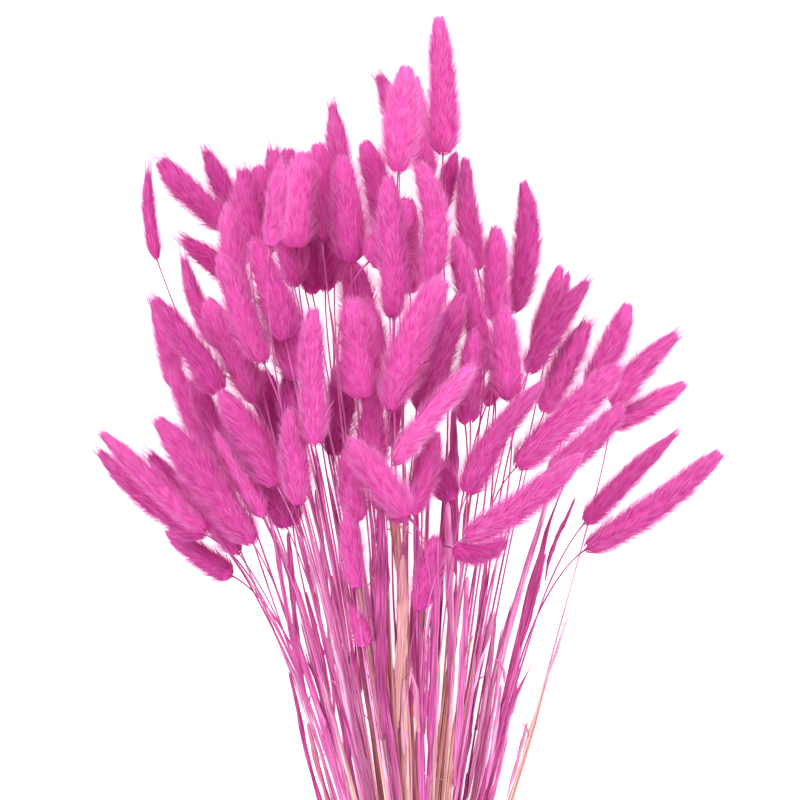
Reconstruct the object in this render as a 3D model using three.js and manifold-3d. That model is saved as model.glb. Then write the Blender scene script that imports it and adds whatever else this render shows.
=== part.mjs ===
// Dried bunny tail grass (Lagurus ovatus): one tied bunch of 91 dyed heads on their cut stems.
// The bunch has no vase, so it lies on a flat surface.
// Units are millimetres. X runs across the bunch, Y from the cut ends to the heads, Z is up.
import * as THREE from 'three';
import { mergeVertices } from 'three/addons/utils/BufferGeometryUtils.js';
import Module from 'manifold-3d';

// Driving sizes of the bunch
const FOOT_LENGTH = 42; // stems left below the tie
const FOOT_UNEVEN = 7; // most that a cut end falls short of that
const FOOT_SPREAD = 1.18; // how much the cut ends open out sideways
const SLOT_PITCH = 2.4; // distance between stems where they are gathered
const SLOT_ROWS = [5, 7, 9, 9, 10, 11, 10, 9, 9, 7, 5]; // stems in each row of the tie, from below
const GATHER_X = 6; // middle of the tie, on the scale of the head list

// Driving sizes of one strand
const STEM_AT_TIE = 0.85; // half width of a stem in the tie
const STEM_AT_HEAD = 0.62; // half width of the wiry neck below a head
const SHEATH_PLAIN = 0.95; // half width at the middle of a bare stem
const SHEATH_LEAFY = 1.6; // half width where a dried sheath still wraps the stem
const FORK_START = 30; // distance below the tie where two tillers part
const FORK_DEPTH = 0.85; // half depth of the shared foot
const STEM_STEP = 60; // longest straight piece of a stem
const LEAVE_REACH = 0.42; // how long a stem keeps the direction of the tie, as a share of its length
const LEAVE_SPREAD = 0.3; // how far it has opened out by then, as a share of the way to its head
const ARRIVE_REACH = 0.15; // how long it keeps the direction of its head
const TIE_END = 2; // straight length of a stem on either side of the tie

// Driving sizes of one dried leaf
const LEAF_PLACE = 0.42; // where it leaves the stem, as a share of the way to the head
const LEAF_ROOT = 4; // length of its root on the stem
const LEAF_LENGTH = 46;
const LEAF_WIDTH = 3.4;
const LEAF_THICKNESS = 0.7;
const LEAF_OUTLINE = [[0.2, 0.8], [0.45, 1], [0.75, 0.8]]; // place along the blade and share of its width
const LEAF_WAVE = 0.9; // how far its edges swing to the side
const LEAF_LIFT = 0.17; // how far its tip stands off, as a share of its length
const LEAF_EVERY = 5; // one strand in so many has a leaf

// Driving sizes of one head
const COLUMNS = 5; // columns of spikes round a head
const BAND_LENGTH = 14.5; // distance between the rings of its core
const BODY_SHARE = 0.92; // dense part of a head, as a share of its fuzzy girth
const CORE_SHARE = 0.72; // core between the spikes, as a share of the dense part
const SPIKE_LEAN = 0.55; // how far a spike leans towards the tip, as a share of a band
const HEAD_PROFILE = [[0, 0.45], [0.08, 0.78], [0.25, 1], [0.5, 0.97], [0.75, 0.82], [0.9, 0.6], [1, 0.3]];

// How the strands are laid down
const HEIGHT_STEP = 0.8; // a strand is raised in steps of this size until it lies clear
const LAYER_DEPTH = 60; // a head this much nearer the tie lies one layer further up
const CLEARANCE = 0.4; // kept between two strands
const FLOOR_GAP = 0.3; // kept below the lowest heads
const HIGHEST = 400; // no strand lies higher than this
const ROD_LENGTH = 24; // length of the straight rods by which a stem is tested
const HEAD_RODS = 5; // rods by which a head is tested
const PITCH_ANGLE = 7; // most that a head tips up or down, in degrees

// Twine tie
const TIE_WIDTH = 12;
const TIE_WALL = 2.4;
const TIE_ROOM = 0.35; // between the tie and the outermost stems
const TIE_TURNS = 4;
const TIE_GROOVE = 0.7; // depth of the groove between two turns
const TIE_FLAT = 0.9; // depth of the flat where the tie lies on the surface
const TIE_SIDES = 32;
const KNOT_SIZE = 3.4; // half width of the knot on top of the tie
const TAIL_REACH = 62; // how far a loose end of the twine follows the tie round, in degrees
const TAIL_THICKNESS = 1.1; // half width of a loose end

// Colours
const PINKS = [0xe252b4, 0xd8479f, 0xec66bf, 0xcc3f98];
const TWINE = 0xd8bd8c;

// The heads as they lie, from the left: base x, base y, tip x, tip y, fuzzy girth,
// layer from 1 at the back to 6 in front, for a bent head how far it bows to the right,
// and for one bent stem how far it swings out to the right. y counts from the tie.
const HEADS = [
  [-122.5, 391, -127, 433, 8, 3],
  [-86, 407, -120, 440, 14.5, 2],
  [-77, 406, -97, 444.5, 13, 1],
  [-84, 382, -108, 400, 12.5, 2],
  [-89, 346, -108, 389, 12, 3],
  [-78.5, 367.5, -86.5, 417, 13.5, 4],
  [-68, 339, -89, 391, 15.5, 6],
  [-72, 319, -96, 370, 16, 5],
  [-90, 324, -122, 370, 14, 4],
  [-114, 327, -123.5, 368.5, 12, 3],
  [-84, 275, -113.5, 334, 14, 3],
  [-81, 284, -103.5, 329.5, 13.5, 2],
  [-97, 256, -148.5, 303, 13, 5],
  [-97.5, 252.5, -150, 293.5, 14, 4],
  [-97, 255.5, -125, 292, 12, 3],
  [-84.5, 232, -116, 254.5, 14, 3],
  [-73.5, 249, -120.5, 310, 16.5, 5],
  [-81, 243.5, -111, 292.5, 14, 4],
  [-68, 262, -91.5, 303, 11, 6],
  [-56.5, 256.5, -82.5, 305, 15, 3],
  [-61.5, 277.5, -89, 324, 16, 5],
  [-50.5, 268, -54.5, 315, 14.5, 5],
  [-53.5, 257, -58.5, 300, 11, 2],
  [-58.5, 292.5, -69, 334, 15, 2],
  [-50, 294, -56, 334, 14, 3],
  [-75, 389, -78.5, 435, 14, 3],
  [-67, 392, -71.5, 437, 13, 2],
  [-64.5, 396.5, -59, 437.5, 11, 6],
  [-60, 400, -64, 445.5, 13, 2],
  [-54, 400, -56.5, 446, 13, 1],
  [-52, 396, -48, 443.5, 15.5, 5],
  [-53, 377, -58.5, 424, 14, 4],
  [-57, 350, -72.5, 399, 14, 5],
  [-50, 330, -64, 380, 16.5, 4],
  [-42, 298, -43, 365, 13, 6],
  [-30, 417.5, -34, 467, 15, 4],
  [-39, 400, -41, 448, 13.5, 3],
  [-44, 373.5, -47, 420, 13, 2],
  [-37.5, 375, -39, 422.5, 13, 2],
  [-33, 379.5, -35, 427.5, 14, 1],
  [-24.5, 389, -29, 441, 14, 3],
  [-7.5, 402, -18, 449.5, 13.5, 3],
  [0, 437.5, -10.5, 482.5, 13, 1],
  [-1, 434, 3, 486.5, 16, 4],
  [15, 432, 8, 482, 14, 3],
  [21.5, 444, 19.5, 511.5, 17, 4],
  [18.5, 412.5, 28, 444, 12, 2],
  [39, 386, 33, 441, 16, 3],
  [45, 335.5, 27.5, 401, 12.5, 4],
  [48.5, 359, 48, 406, 15, 4],
  [56.5, 364.5, 62, 429, 15, 3, 4],
  [11, 373.5, 9.5, 437.5, 13.5, 5, 6.5],
  [-3.5, 361, -5.5, 431, 11, 5],
  [-15.5, 389, 4, 420, 18, 4],
  [5, 373.5, 4, 417.5, 12, 2],
  [-20, 355, -26, 389, 14, 3],
  [-19, 321, -24, 370, 17, 5],
  [-13, 315, -17, 370, 14, 4],
  [-4.5, 315, 21.5, 379.5, 19, 6],
  [10.5, 314.5, 30.5, 372, 18, 4],
  [-3, 288.5, 36, 336.5, 13, 6],
  [35, 309.5, 37, 354, 14, 4],
  [32.5, 308, 29, 327.5, 8, 3],
  [25, 269.5, 15.5, 291.5, 16, 3],
  [5, 263.5, 18, 304, 13.5, 5],
  [4.5, 262.5, -25, 300, 16, 6],
  [-14, 285, -13, 322.5, 15, 4],
  [-21.5, 259.5, -25.5, 295.5, 15.5, 5],
  [-22, 226.5, -26.5, 264.5, 10.5, 6],
  [-17.5, 197, -24, 216, 11.5, 6],
  [9, 215, 17.5, 251.5, 12.5, 6],
  [27, 246, 52, 250, 13.5, 5, 4],
  [33, 252, 89, 292, 16, 6],
  [75, 285, 111, 317, 15, 4],
  [33.5, 273.5, 70.5, 328, 15.5, 5],
  [58.5, 287, 108.5, 336.5, 17, 5],
  [64.5, 334, 93.5, 378.5, 15.5, 4],
  [67.5, 345, 80.5, 386.5, 12, 2],
  [74, 345, 84.5, 383, 10, 1],
  [72.5, 314, 94, 358.5, 15, 3],
  [94, 326, 114.5, 368, 14.5, 2],
  [107, 317.5, 138.5, 352.5, 15, 3, 0, 22],
  [105, 307.5, 143, 328, 13.5, 2],
  [93, 258.5, 138, 302.5, 12, 3],
  [94, 245.5, 160.5, 293.5, 15, 4],
  [55, 320, 52, 365.5, 16.5, 5],
  [43.5, 317.5, 57, 345, 12, 2],
  [-33.5, 292, -27.5, 340, 16, 1],
  [16, 336, 18.5, 370, 11, 1],
  [4, 261, -13.5, 272.5, 13, 4],
  [-4, 296.5, -1, 330, 9, 1],
];

const UP = new THREE.Vector3(0, 0, 1);
const DEGREE = Math.PI / 180;

// Seeded random numbers from 0 to 1
function randomSource(seed) {
  let state = seed;
  return () => {
    state = (state * 1664525 + 1013904223) % 4294967296;
    return state / 4294967296;
  };
}

// A value on a line of [place, value] points
function along(points, place) {
  for (let i = 1; i < points.length; i += 1) {
    const [x0, y0] = points[i - 1];
    const [x1, y1] = points[i];
    if (place <= x1) return y0 + ((y1 - y0) * (place - x0)) / (x1 - x0);
  }
  return points[points.length - 1][1];
}

// Strands
// A strand is one head with its stem. Its height in the bunch is found later.
function makeStrands() {
  const strands = HEADS.map(([baseX, baseY, tipX, tipY, girth, layer, bow = 0, swing = 0], number) => ({
    number,
    base: new THREE.Vector2(baseX - GATHER_X, baseY),
    tip: new THREE.Vector2(tipX - GATHER_X, tipY),
    radius: (girth / 2) * BODY_SHARE,
    bow,
    swing,
    order: layer - baseY / LAYER_DEPTH,
    slope: (baseX - GATHER_X) / baseY,
    pitch: Math.sin(number * 2.4) * PITCH_ANGLE * DEGREE,
    sheathed: number % 3 === 0,
  }));
  strands.sort((a, b) => a.order - b.order);
  strands.forEach((strand, rank) => {
    strand.hasLeaf = rank % LEAF_EVERY === 2;
  });
  return strands;
}

// The stems are gathered in rows. The strands at the back lie in the lowest row,
// and in a row they keep the order from left to right in which the heads fan out.
function gather(strands) {
  const rowsHeight = (SLOT_ROWS.length - 1) * SLOT_PITCH;
  const tieInside = tieRadius();
  const lowest = tieInside + TIE_WALL - TIE_FLAT - rowsHeight / 2;
  const rows = [];
  let next = 0;
  SLOT_ROWS.forEach((count, level) => {
    const row = strands.slice(next, next + count);
    next += count;
    row.sort((a, b) => a.slope - b.slope);
    row.forEach((strand, place) => {
      const x = (place - (count - 1) / 2) * SLOT_PITCH;
      strand.isRight = place % 2 === 1;
      strand.slot = new THREE.Vector3(x, 0, lowest + level * SLOT_PITCH);
      strand.foot = FOOT_LENGTH - FOOT_UNEVEN * Math.abs(Math.sin(level * 5 + Math.floor(place / 2) * 3));
    });
    rows.push(row);
  });
  return rows;
}

// Inner radius of the tie: it clears the outermost stems of every row
function tieRadius() {
  const middle = (SLOT_ROWS.length - 1) / 2;
  const reach = SLOT_ROWS.map((count, level) =>
    Math.hypot(((count - 1) / 2) * SLOT_PITCH, (level - middle) * SLOT_PITCH));
  return Math.max(...reach) + STEM_AT_TIE + TIE_ROOM;
}

// Middle line of a head whose base lies at a height
function headPoint(strand, height, t) {
  const run = strand.tip.clone().sub(strand.base);
  const length = run.length();
  const side = 4 * strand.bow * t * (1 - t);
  return new THREE.Vector3(
    strand.base.x + run.x * t + (run.y / length) * side,
    strand.base.y + run.y * t - (run.x / length) * side,
    height + Math.tan(strand.pitch) * length * t,
  );
}

// Middle line of a stem, from the tie to the base of its head
function stemCurve(strand, height) {
  const start = new THREE.Vector3(strand.slot.x, TIE_WIDTH / 2 + TIE_END, strand.slot.z);
  const end = headPoint(strand, height, 0);
  const arrival = headPoint(strand, height, 0.02).sub(end).normalize();
  const reach = start.distanceTo(end);
  const leave = new THREE.Vector3(
    start.x + (end.x - start.x) * LEAVE_SPREAD + strand.swing,
    start.y + reach * LEAVE_REACH,
    start.z + (end.z - start.z) * LEAVE_SPREAD,
  );
  const arrive = end.clone().addScaledVector(arrival, -reach * ARRIVE_REACH);
  arrive.x += strand.swing;
  return new THREE.CubicBezierCurve3(start, leave, arrive, end);
}

function stemRadius(strand, u) {
  const middle = strand.sheathed ? SHEATH_LEAFY : SHEATH_PLAIN;
  const ends = [[0.8, 0.75], [1, STEM_AT_HEAD]];
  return along([[0, STEM_AT_TIE], [0.25, SHEATH_PLAIN], [0.45, middle], [0.6, middle], ...ends], u);
}

// Direction in which the leaf leaves its stem: up, and to the side on which the strand is free
function leafSide(strand) {
  return strand.isRight ? 60 : 120;
}

// Middle line of a leaf, from its root at v = 0 to its tip at v = 1
function leafPoint(strand, curve, v) {
  const u = LEAF_PLACE + LEAF_ROOT / curve.getLength();
  const direction = curve.getTangent(u);
  const away = leafSide(strand);
  const root = ringPoint(curve.getPoint(u), direction, stemRadius(strand, u) * 0.5, away);
  const lift = LEAF_LENGTH * LEAF_LIFT * (0.4 * v + 0.6 * v * v);
  const wave = LEAF_WAVE * Math.sin(v * 7 + strand.number);
  return ringPoint(root, direction, lift, away)
    .addScaledVector(direction, LEAF_LENGTH * v)
    .add(ringPoint(new THREE.Vector3(), direction, wave * v, away - 90));
}

// Laying the strands down
// Each strand is a chain of short round rods for this purpose.
function rodsOf(strand, height) {
  const rods = [];
  const curve = stemCurve(strand, height);
  const steps = Math.ceil(curve.getLength() / ROD_LENGTH);
  const points = [new THREE.Vector3(strand.slot.x, -FOOT_LENGTH, strand.slot.z)];
  const radii = [STEM_AT_TIE];
  for (let i = 0; i <= steps; i += 1) {
    points.push(curve.getPoint(i / steps));
    radii.push(stemRadius(strand, i / steps));
  }
  for (let i = 1; i < points.length; i += 1) {
    rods.push({ a: points[i - 1], b: points[i], radius: Math.max(radii[i - 1], radii[i]) });
  }
  if (strand.hasLeaf) {
    [0.2, 0.5, 0.8].forEach((v) => rods.push({
      a: leafPoint(strand, curve, v - 0.2),
      b: leafPoint(strand, curve, v + 0.2),
      radius: LEAF_WIDTH * 0.55,
    }));
  }
  for (let i = 0; i < HEAD_RODS; i += 1) {
    const t0 = i / HEAD_RODS;
    const t1 = (i + 1) / HEAD_RODS;
    const share = Math.max(along(HEAD_PROFILE, t0), along(HEAD_PROFILE, (t0 + t1) / 2));
    rods.push({
      a: headPoint(strand, height, t0),
      b: headPoint(strand, height, t1),
      radius: strand.radius * Math.min(share, 1) * 1.03,
    });
  }
  return rods;
}

// Shortest distance between the middle lines of two straight rods
const scratch = Array.from({ length: 4 }, () => new THREE.Vector3());
function rodDistance(p, q) {
  const d1 = scratch[0].subVectors(p.b, p.a);
  const d2 = scratch[1].subVectors(q.b, q.a);
  const r = scratch[2].subVectors(p.a, q.a);
  const a = d1.dot(d1);
  const e = d2.dot(d2);
  const f = d2.dot(r);
  const c = d1.dot(r);
  const b = d1.dot(d2);
  const denominator = a * e - b * b;
  let s = denominator > 1e-9 ? THREE.MathUtils.clamp((b * f - c * e) / denominator, 0, 1) : 0;
  let t = (b * s + f) / e;
  if (t < 0) {
    t = 0;
    s = THREE.MathUtils.clamp(-c / a, 0, 1);
  } else if (t > 1) {
    t = 1;
    s = THREE.MathUtils.clamp((b - c) / a, 0, 1);
  }
  return scratch[3].copy(r).addScaledVector(d1, s).addScaledVector(d2, -t).length();
}

function boxOf(rods) {
  const box = new THREE.Box3();
  rods.forEach((rod) => {
    box.expandByPoint(rod.a);
    box.expandByPoint(rod.b);
  });
  return box.expandByScalar(Math.max(...rods.map((rod) => rod.radius)) + CLEARANCE);
}

function apart(p, q, axis, room) {
  return Math.min(p.a[axis], p.b[axis]) - Math.max(q.a[axis], q.b[axis]) > room;
}

function rodsClash(one, other) {
  return one.some((p) => other.some((q) => {
    const room = p.radius + q.radius + CLEARANCE;
    if (['x', 'y', 'z'].some((axis) => apart(p, q, axis, room) || apart(q, p, axis, room))) return false;
    return rodDistance(p, q) < room;
  }));
}

// From the back to the front, each strand is raised until it lies on those below it
function layDown(strands) {
  const laid = [];
  strands.forEach((strand) => {
    const sink = Math.max(0, -Math.tan(strand.pitch)) * strand.tip.distanceTo(strand.base);
    let height = strand.radius * 1.1 + FLOOR_GAP + sink;
    let rods = rodsOf(strand, height);
    while (laid.some((other) => boxOf(rods).intersectsBox(other.box) && rodsClash(rods, other.rods))) {
      height += HEIGHT_STEP;
      rods = rodsOf(strand, height);
      if (height > HIGHEST) throw new Error(`strand ${strand.number} finds no place`);
    }
    strand.height = height;
    laid.push({ rods, box: boxOf(rods) });
  });
}

// Facets
class Facets {
  constructor() {
    this.positions = [];
    this.faces = [];
  }

  point(vector) {
    this.positions.push(vector.x, vector.y, vector.z);
    return this.positions.length / 3 - 1;
  }

  // Side wall between two rings that run the same way round, with one side left open if it is named
  wall(lower, upper, open = -1) {
    lower.forEach((a, i) => {
      const j = (i + 1) % lower.length;
      if (i !== open) this.faces.push(a, upper[i], upper[j], a, upper[j], lower[j]);
    });
  }

  geometry() {
    const geometry = new THREE.BufferGeometry();
    geometry.setAttribute('position', new THREE.Float32BufferAttribute(this.positions, 3));
    geometry.setIndex(this.faces);
    geometry.computeVertexNormals();
    return geometry;
  }
}

// Two directions square to a middle line: sideways, and as far up as it allows
function crossDirections(direction) {
  const side = new THREE.Vector3().crossVectors(direction, UP).normalize();
  const top = new THREE.Vector3().crossVectors(side, direction).normalize();
  return { side, top };
}

function ringPoint(centre, direction, radius, degrees) {
  const { side, top } = crossDirections(direction);
  return centre.clone()
    .addScaledVector(side, radius * Math.cos(degrees * DEGREE))
    .addScaledVector(top, radius * Math.sin(degrees * DEGREE));
}

// Stem from a first ring of three points up to the neck of its head.
// The corners keep their angles, so the rings follow each other without a twist.
function addStem(facets, strand, firstRing, corners) {
  const curve = stemCurve(strand, strand.height);
  const forward = new THREE.Vector3(0, 1, 0);
  const belowTie = new THREE.Vector3(strand.slot.x, -TIE_WIDTH / 2 - TIE_END, strand.slot.z);
  const stations = [{ u: 0, centre: belowTie, forward }];
  const steps = Math.ceil(curve.getLength() / STEM_STEP);
  const places = Array.from({ length: steps + 1 }, (unused, i) => i / steps);
  const leafEnd = LEAF_PLACE + LEAF_ROOT / curve.getLength();
  if (strand.hasLeaf) {
    const clear = places.filter((u) => Math.abs(u - LEAF_PLACE) > 0.3 / steps);
    places.length = 0;
    places.push(...clear, LEAF_PLACE, leafEnd);
    places.sort((a, b) => a - b);
  }
  places.forEach((u) => stations.push({
    u,
    centre: curve.getPoint(u),
    forward: u === 0 ? forward : curve.getTangent(u),
  }));
  let ring = firstRing;
  stations.forEach((station) => {
    const radius = stemRadius(strand, station.u);
    const next = corners.map((degrees) =>
      facets.point(ringPoint(station.centre, station.forward, radius, degrees)));
    if (strand.hasLeaf && station.u === leafEnd) {
      const open = strand.isRight ? 0 : 2;
      facets.wall(ring, next, open);
      addLeaf(facets, strand, curve, ring, next, open);
    } else {
      facets.wall(ring, next);
    }
    ring = next;
  });
  return ring;
}

// Leaf: a thin blade that grows out of one open side of the stem and ends in a point
function addLeaf(facets, strand, curve, lower, upper, open) {
  const after = (open + 1) % 3;
  let ring = [lower[after], upper[after], upper[open], lower[open]];
  const away = leafSide(strand);
  LEAF_OUTLINE.forEach(([v, share]) => {
    const centre = leafPoint(strand, curve, v);
    const direction = leafPoint(strand, curve, v + 0.1).sub(leafPoint(strand, curve, v - 0.1)).normalize();
    const next = [[1, 1], [1, -1], [-1, -1], [-1, 1]].map(([across, out]) => {
      const edge = ringPoint(centre, direction, (across * share * LEAF_WIDTH) / 2, away + 90);
      return facets.point(ringPoint(edge, direction, (out * LEAF_THICKNESS) / 2, away));
    });
    facets.wall(ring, next);
    ring = next;
  });
  const tip = facets.point(leafPoint(strand, curve, 1));
  ring.forEach((a, i) => facets.faces.push(a, tip, ring[(i + 1) % ring.length]));
}

// Head: a core of rings set half a column apart, with a spike on each of its facets
function addHead(facets, strand, neck, corners) {
  const random = randomSource(strand.number * 97 + 11);
  const length = strand.tip.distanceTo(strand.base);
  const bands = Math.max(2, Math.round(length / BAND_LENGTH));
  const column = 360 / COLUMNS;
  const direction = (t) => {
    const ahead = headPoint(strand, strand.height, Math.min(t + 0.05, 1));
    return ahead.sub(headPoint(strand, strand.height, Math.max(t - 0.05, 0))).normalize();
  };
  const place = (t, share, degrees) => {
    const radius = strand.radius * along(HEAD_PROFILE, t) * share;
    return facets.point(ringPoint(headPoint(strand, strand.height, t), direction(t), radius, degrees));
  };
  const ringPlace = (k) => 0.03 + (0.9 * k) / bands;
  const rings = [];
  for (let k = 0; k <= bands; k += 1) {
    const turn = corners[0] + (k * column) / 2;
    const angles = Array.from({ length: COLUMNS }, (unused, i) => turn + i * column);
    rings.push(angles.map((degrees) => place(ringPlace(k), CORE_SHARE, degrees)));
  }
  stitchNeck(facets, neck, rings[0]);
  const spike = (a, b, c, k, third, degrees) => {
    const t = Math.min(ringPlace(k + third + SPIKE_LEAN), 0.97 + 0.02 * random());
    const apex = place(t, 0.97 + 0.1 * random(), degrees);
    facets.faces.push(a, b, apex, b, c, apex, c, a, apex);
  };
  for (let k = 0; k < bands; k += 1) {
    for (let i = 0; i < COLUMNS; i += 1) {
      const j = (i + 1) % COLUMNS;
      const turn = corners[0] + (k * column) / 2 + i * column;
      spike(rings[k][i], rings[k + 1][i], rings[k][j], k, 1 / 3, turn + column / 2);
      spike(rings[k][j], rings[k + 1][i], rings[k + 1][j], k, 2 / 3, turn + column);
    }
  }
  const tip = facets.point(headPoint(strand, strand.height, 1));
  rings[bands].forEach((a, i) => facets.faces.push(a, tip, rings[bands][(i + 1) % COLUMNS]));
}

// The corners of the stem meet the more numerous ones of the head, in the order of their angles
function stitchNeck(facets, neck, ring) {
  let i = 0;
  let j = 0;
  while (i < neck.length || j < ring.length) {
    const a = neck[i % neck.length];
    const b = ring[j % ring.length];
    if (j === ring.length || (i < neck.length && (i + 1) / neck.length < (j + 1) / ring.length)) {
      facets.faces.push(a, b, neck[(i + 1) % neck.length]);
      i += 1;
    } else {
      facets.faces.push(a, b, ring[(j + 1) % ring.length]);
      j += 1;
    }
  }
}

// Corner angles of the stem sections: one alone or on the left, and one on the right of a pair
const LEFT_CORNERS = [180, 300, 420];
const RIGHT_CORNERS = [0, 120, 240];

function singleStrand(strand) {
  const facets = new Facets();
  const foot = new THREE.Vector3(strand.slot.x * FOOT_SPREAD, -strand.foot, strand.slot.z);
  const forward = new THREE.Vector3(0, 1, 0);
  const ring = LEFT_CORNERS.map((degrees) => facets.point(ringPoint(foot, forward, STEM_AT_TIE, degrees)));
  facets.faces.push(...ring);
  const neck = addStem(facets, strand, ring, LEFT_CORNERS);
  addHead(facets, strand, neck, LEFT_CORNERS);
  return facets.geometry();
}

// Two tillers that grew from one foot: a shaft of four corners that parts into two of three
function pairOfStrands(left, right) {
  const facets = new Facets();
  const ringAt = (y, spread) => {
    const x = ((left.slot.x + right.slot.x) / 2) * spread;
    const z = left.slot.z;
    return [
      facets.point(new THREE.Vector3(x + SLOT_PITCH * 0.55, y, z)),
      facets.point(new THREE.Vector3(x, y, z + FORK_DEPTH)),
      facets.point(new THREE.Vector3(x - SLOT_PITCH * 0.55, y, z)),
      facets.point(new THREE.Vector3(x, y, z - FORK_DEPTH)),
    ];
  };
  const foot = ringAt(-left.foot, FOOT_SPREAD);
  facets.faces.push(foot[0], foot[1], foot[2], foot[0], foot[2], foot[3]);
  const forkShare = FORK_START / FOOT_LENGTH;
  const fork = ringAt(-FORK_START, 1 + (FOOT_SPREAD - 1) * forkShare);
  facets.wall(foot, fork);
  const [b, above, a, below] = fork;
  const leftNeck = addStem(facets, left, [a, below, above], LEFT_CORNERS);
  addHead(facets, left, leftNeck, LEFT_CORNERS);
  const rightNeck = addStem(facets, right, [b, above, below], RIGHT_CORNERS);
  addHead(facets, right, rightNeck, RIGHT_CORNERS);
  return facets.geometry();
}

// Tie
// A few turns of twine round the gathered stems, flat where the tie lies on the surface
function twineTurns(inside, centre) {
  const outside = inside + TIE_WALL;
  const step = TIE_WIDTH / TIE_TURNS;
  const profile = [new THREE.Vector2(inside, -TIE_WIDTH / 2), new THREE.Vector2(inside, TIE_WIDTH / 2)];
  for (let turn = 0; turn < TIE_TURNS; turn += 1) {
    const top = TIE_WIDTH / 2 - turn * step;
    profile.push(new THREE.Vector2(outside - TIE_GROOVE, top));
    profile.push(new THREE.Vector2(outside, top - step * 0.3));
    profile.push(new THREE.Vector2(outside, top - step * 0.7));
  }
  profile.push(new THREE.Vector2(outside - TIE_GROOVE, -TIE_WIDTH / 2));
  const facets = new Facets();
  const rings = [];
  for (let i = 0; i < TIE_SIDES; i += 1) {
    const angle = ((i + 0.5) / TIE_SIDES) * 2 * Math.PI;
    rings.push(profile.map(({ x, y }) => facets.point(new THREE.Vector3(
      x * Math.sin(angle),
      y,
      Math.max(0, centre - x * Math.cos(angle)),
    ))));
  }
  rings.forEach((ring, i) => facets.wall(ring, rings[(i + 1) % TIE_SIDES]));
  return facets.geometry();
}

function knot(height) {
  const geometry = new THREE.SphereGeometry(KNOT_SIZE, 10, 7);
  geometry.scale(1.25, 1, 0.75);
  geometry.translate(0.4, 0.3, height);
  return geometry;
}

// Loose end of the twine, from inside the knot round the outside of the tie
function looseEnd(radius, centre, toSide, drift) {
  const facets = new Facets();
  const pointAt = (v) => {
    const angle = TAIL_REACH * DEGREE * v * toSide;
    return new THREE.Vector3(
      radius * Math.sin(angle),
      drift * v,
      centre + radius * Math.cos(angle),
    );
  };
  const forward = (v) => pointAt(v + 0.02).sub(pointAt(v - 0.02)).normalize();
  const steps = 6;
  let ring;
  for (let i = 0; i <= steps; i += 1) {
    const v = 0.04 + (0.96 * i) / steps;
    const next = [0, 90, 180, 270].map((degrees) => {
      const around = new THREE.Vector3(0, Math.cos(degrees * DEGREE), 0)
        .add(new THREE.Vector3(0, 1, 0).cross(forward(v)).multiplyScalar(Math.sin(degrees * DEGREE)));
      return facets.point(pointAt(v).addScaledVector(around, TAIL_THICKNESS * (1 - 0.35 * v)));
    });
    if (ring) facets.wall(ring, next);
    else facets.faces.push(next[0], next[1], next[2], next[0], next[2], next[3]);
    ring = next;
  }
  facets.faces.push(ring[0], ring[2], ring[1], ring[0], ring[3], ring[2]);
  return facets.geometry();
}

async function twineTie() {
  const wasm = await Module();
  wasm.setup();
  const solidOf = (geometry) => {
    geometry.deleteAttribute('normal');
    geometry.deleteAttribute('uv');
    const merged = mergeVertices(geometry, 1e-4);
    return new wasm.Manifold(new wasm.Mesh({
      numProp: 3,
      vertProperties: Float32Array.from(merged.attributes.position.array),
      triVerts: Uint32Array.from(merged.index.array),
    }));
  };
  const inside = tieRadius();
  const outside = inside + TIE_WALL;
  const centre = outside - TIE_FLAT;
  const around = outside + TAIL_THICKNESS;
  const joined = [
    knot(centre + outside + KNOT_SIZE * 0.2),
    looseEnd(around, centre, 1, 5),
    looseEnd(around, centre, -1, -4),
  ].reduce((solid, piece) => solid.add(solidOf(piece)), solidOf(twineTurns(inside, centre)));
  const { vertProperties, triVerts } = joined.getMesh();
  const geometry = new THREE.BufferGeometry();
  geometry.setAttribute('position', new THREE.Float32BufferAttribute(vertProperties, 3));
  geometry.setIndex([...triVerts]);
  geometry.computeVertexNormals();
  return geometry;
}

// The bunch
async function buildBunch() {
  const bunch = new THREE.Group();
  const strands = makeStrands();
  const rows = gather(strands);
  layDown(strands);
  const add = (name, geometry, color, roughness) => {
    const material = new THREE.MeshStandardMaterial({ color, roughness, metalness: 0, flatShading: true });
    const mesh = new THREE.Mesh(geometry, material);
    mesh.name = name;
    bunch.add(mesh);
  };
  rows.forEach((row, level) => {
    for (let i = 0; i < row.length; i += 2) {
      const name = `row_${level + 1}_tuft_${i / 2 + 1}`;
      const paired = i + 1 < row.length;
      const geometry = paired ? pairOfStrands(row[i], row[i + 1]) : singleStrand(row[i]);
      add(name, geometry, PINKS[(level + i / 2) % PINKS.length], 0.95);
    }
  });
  add('twine_tie', await twineTie(), TWINE, 0.9);
  return bunch;
}

const bunch = await buildBunch();
const box = new THREE.Box3().setFromObject(bunch);
const middle = box.getCenter(new THREE.Vector3());
bunch.position.set(-middle.x, -middle.y, -box.min.z);

export default bunch;
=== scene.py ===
# Dried bunny tail grass: one tied bunch of dyed, furry heads on thin dry stems. It lies on a pale
# floor, and the camera looks straight down on it. Sizes are in millimetres until a mesh is made.
import math

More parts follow.
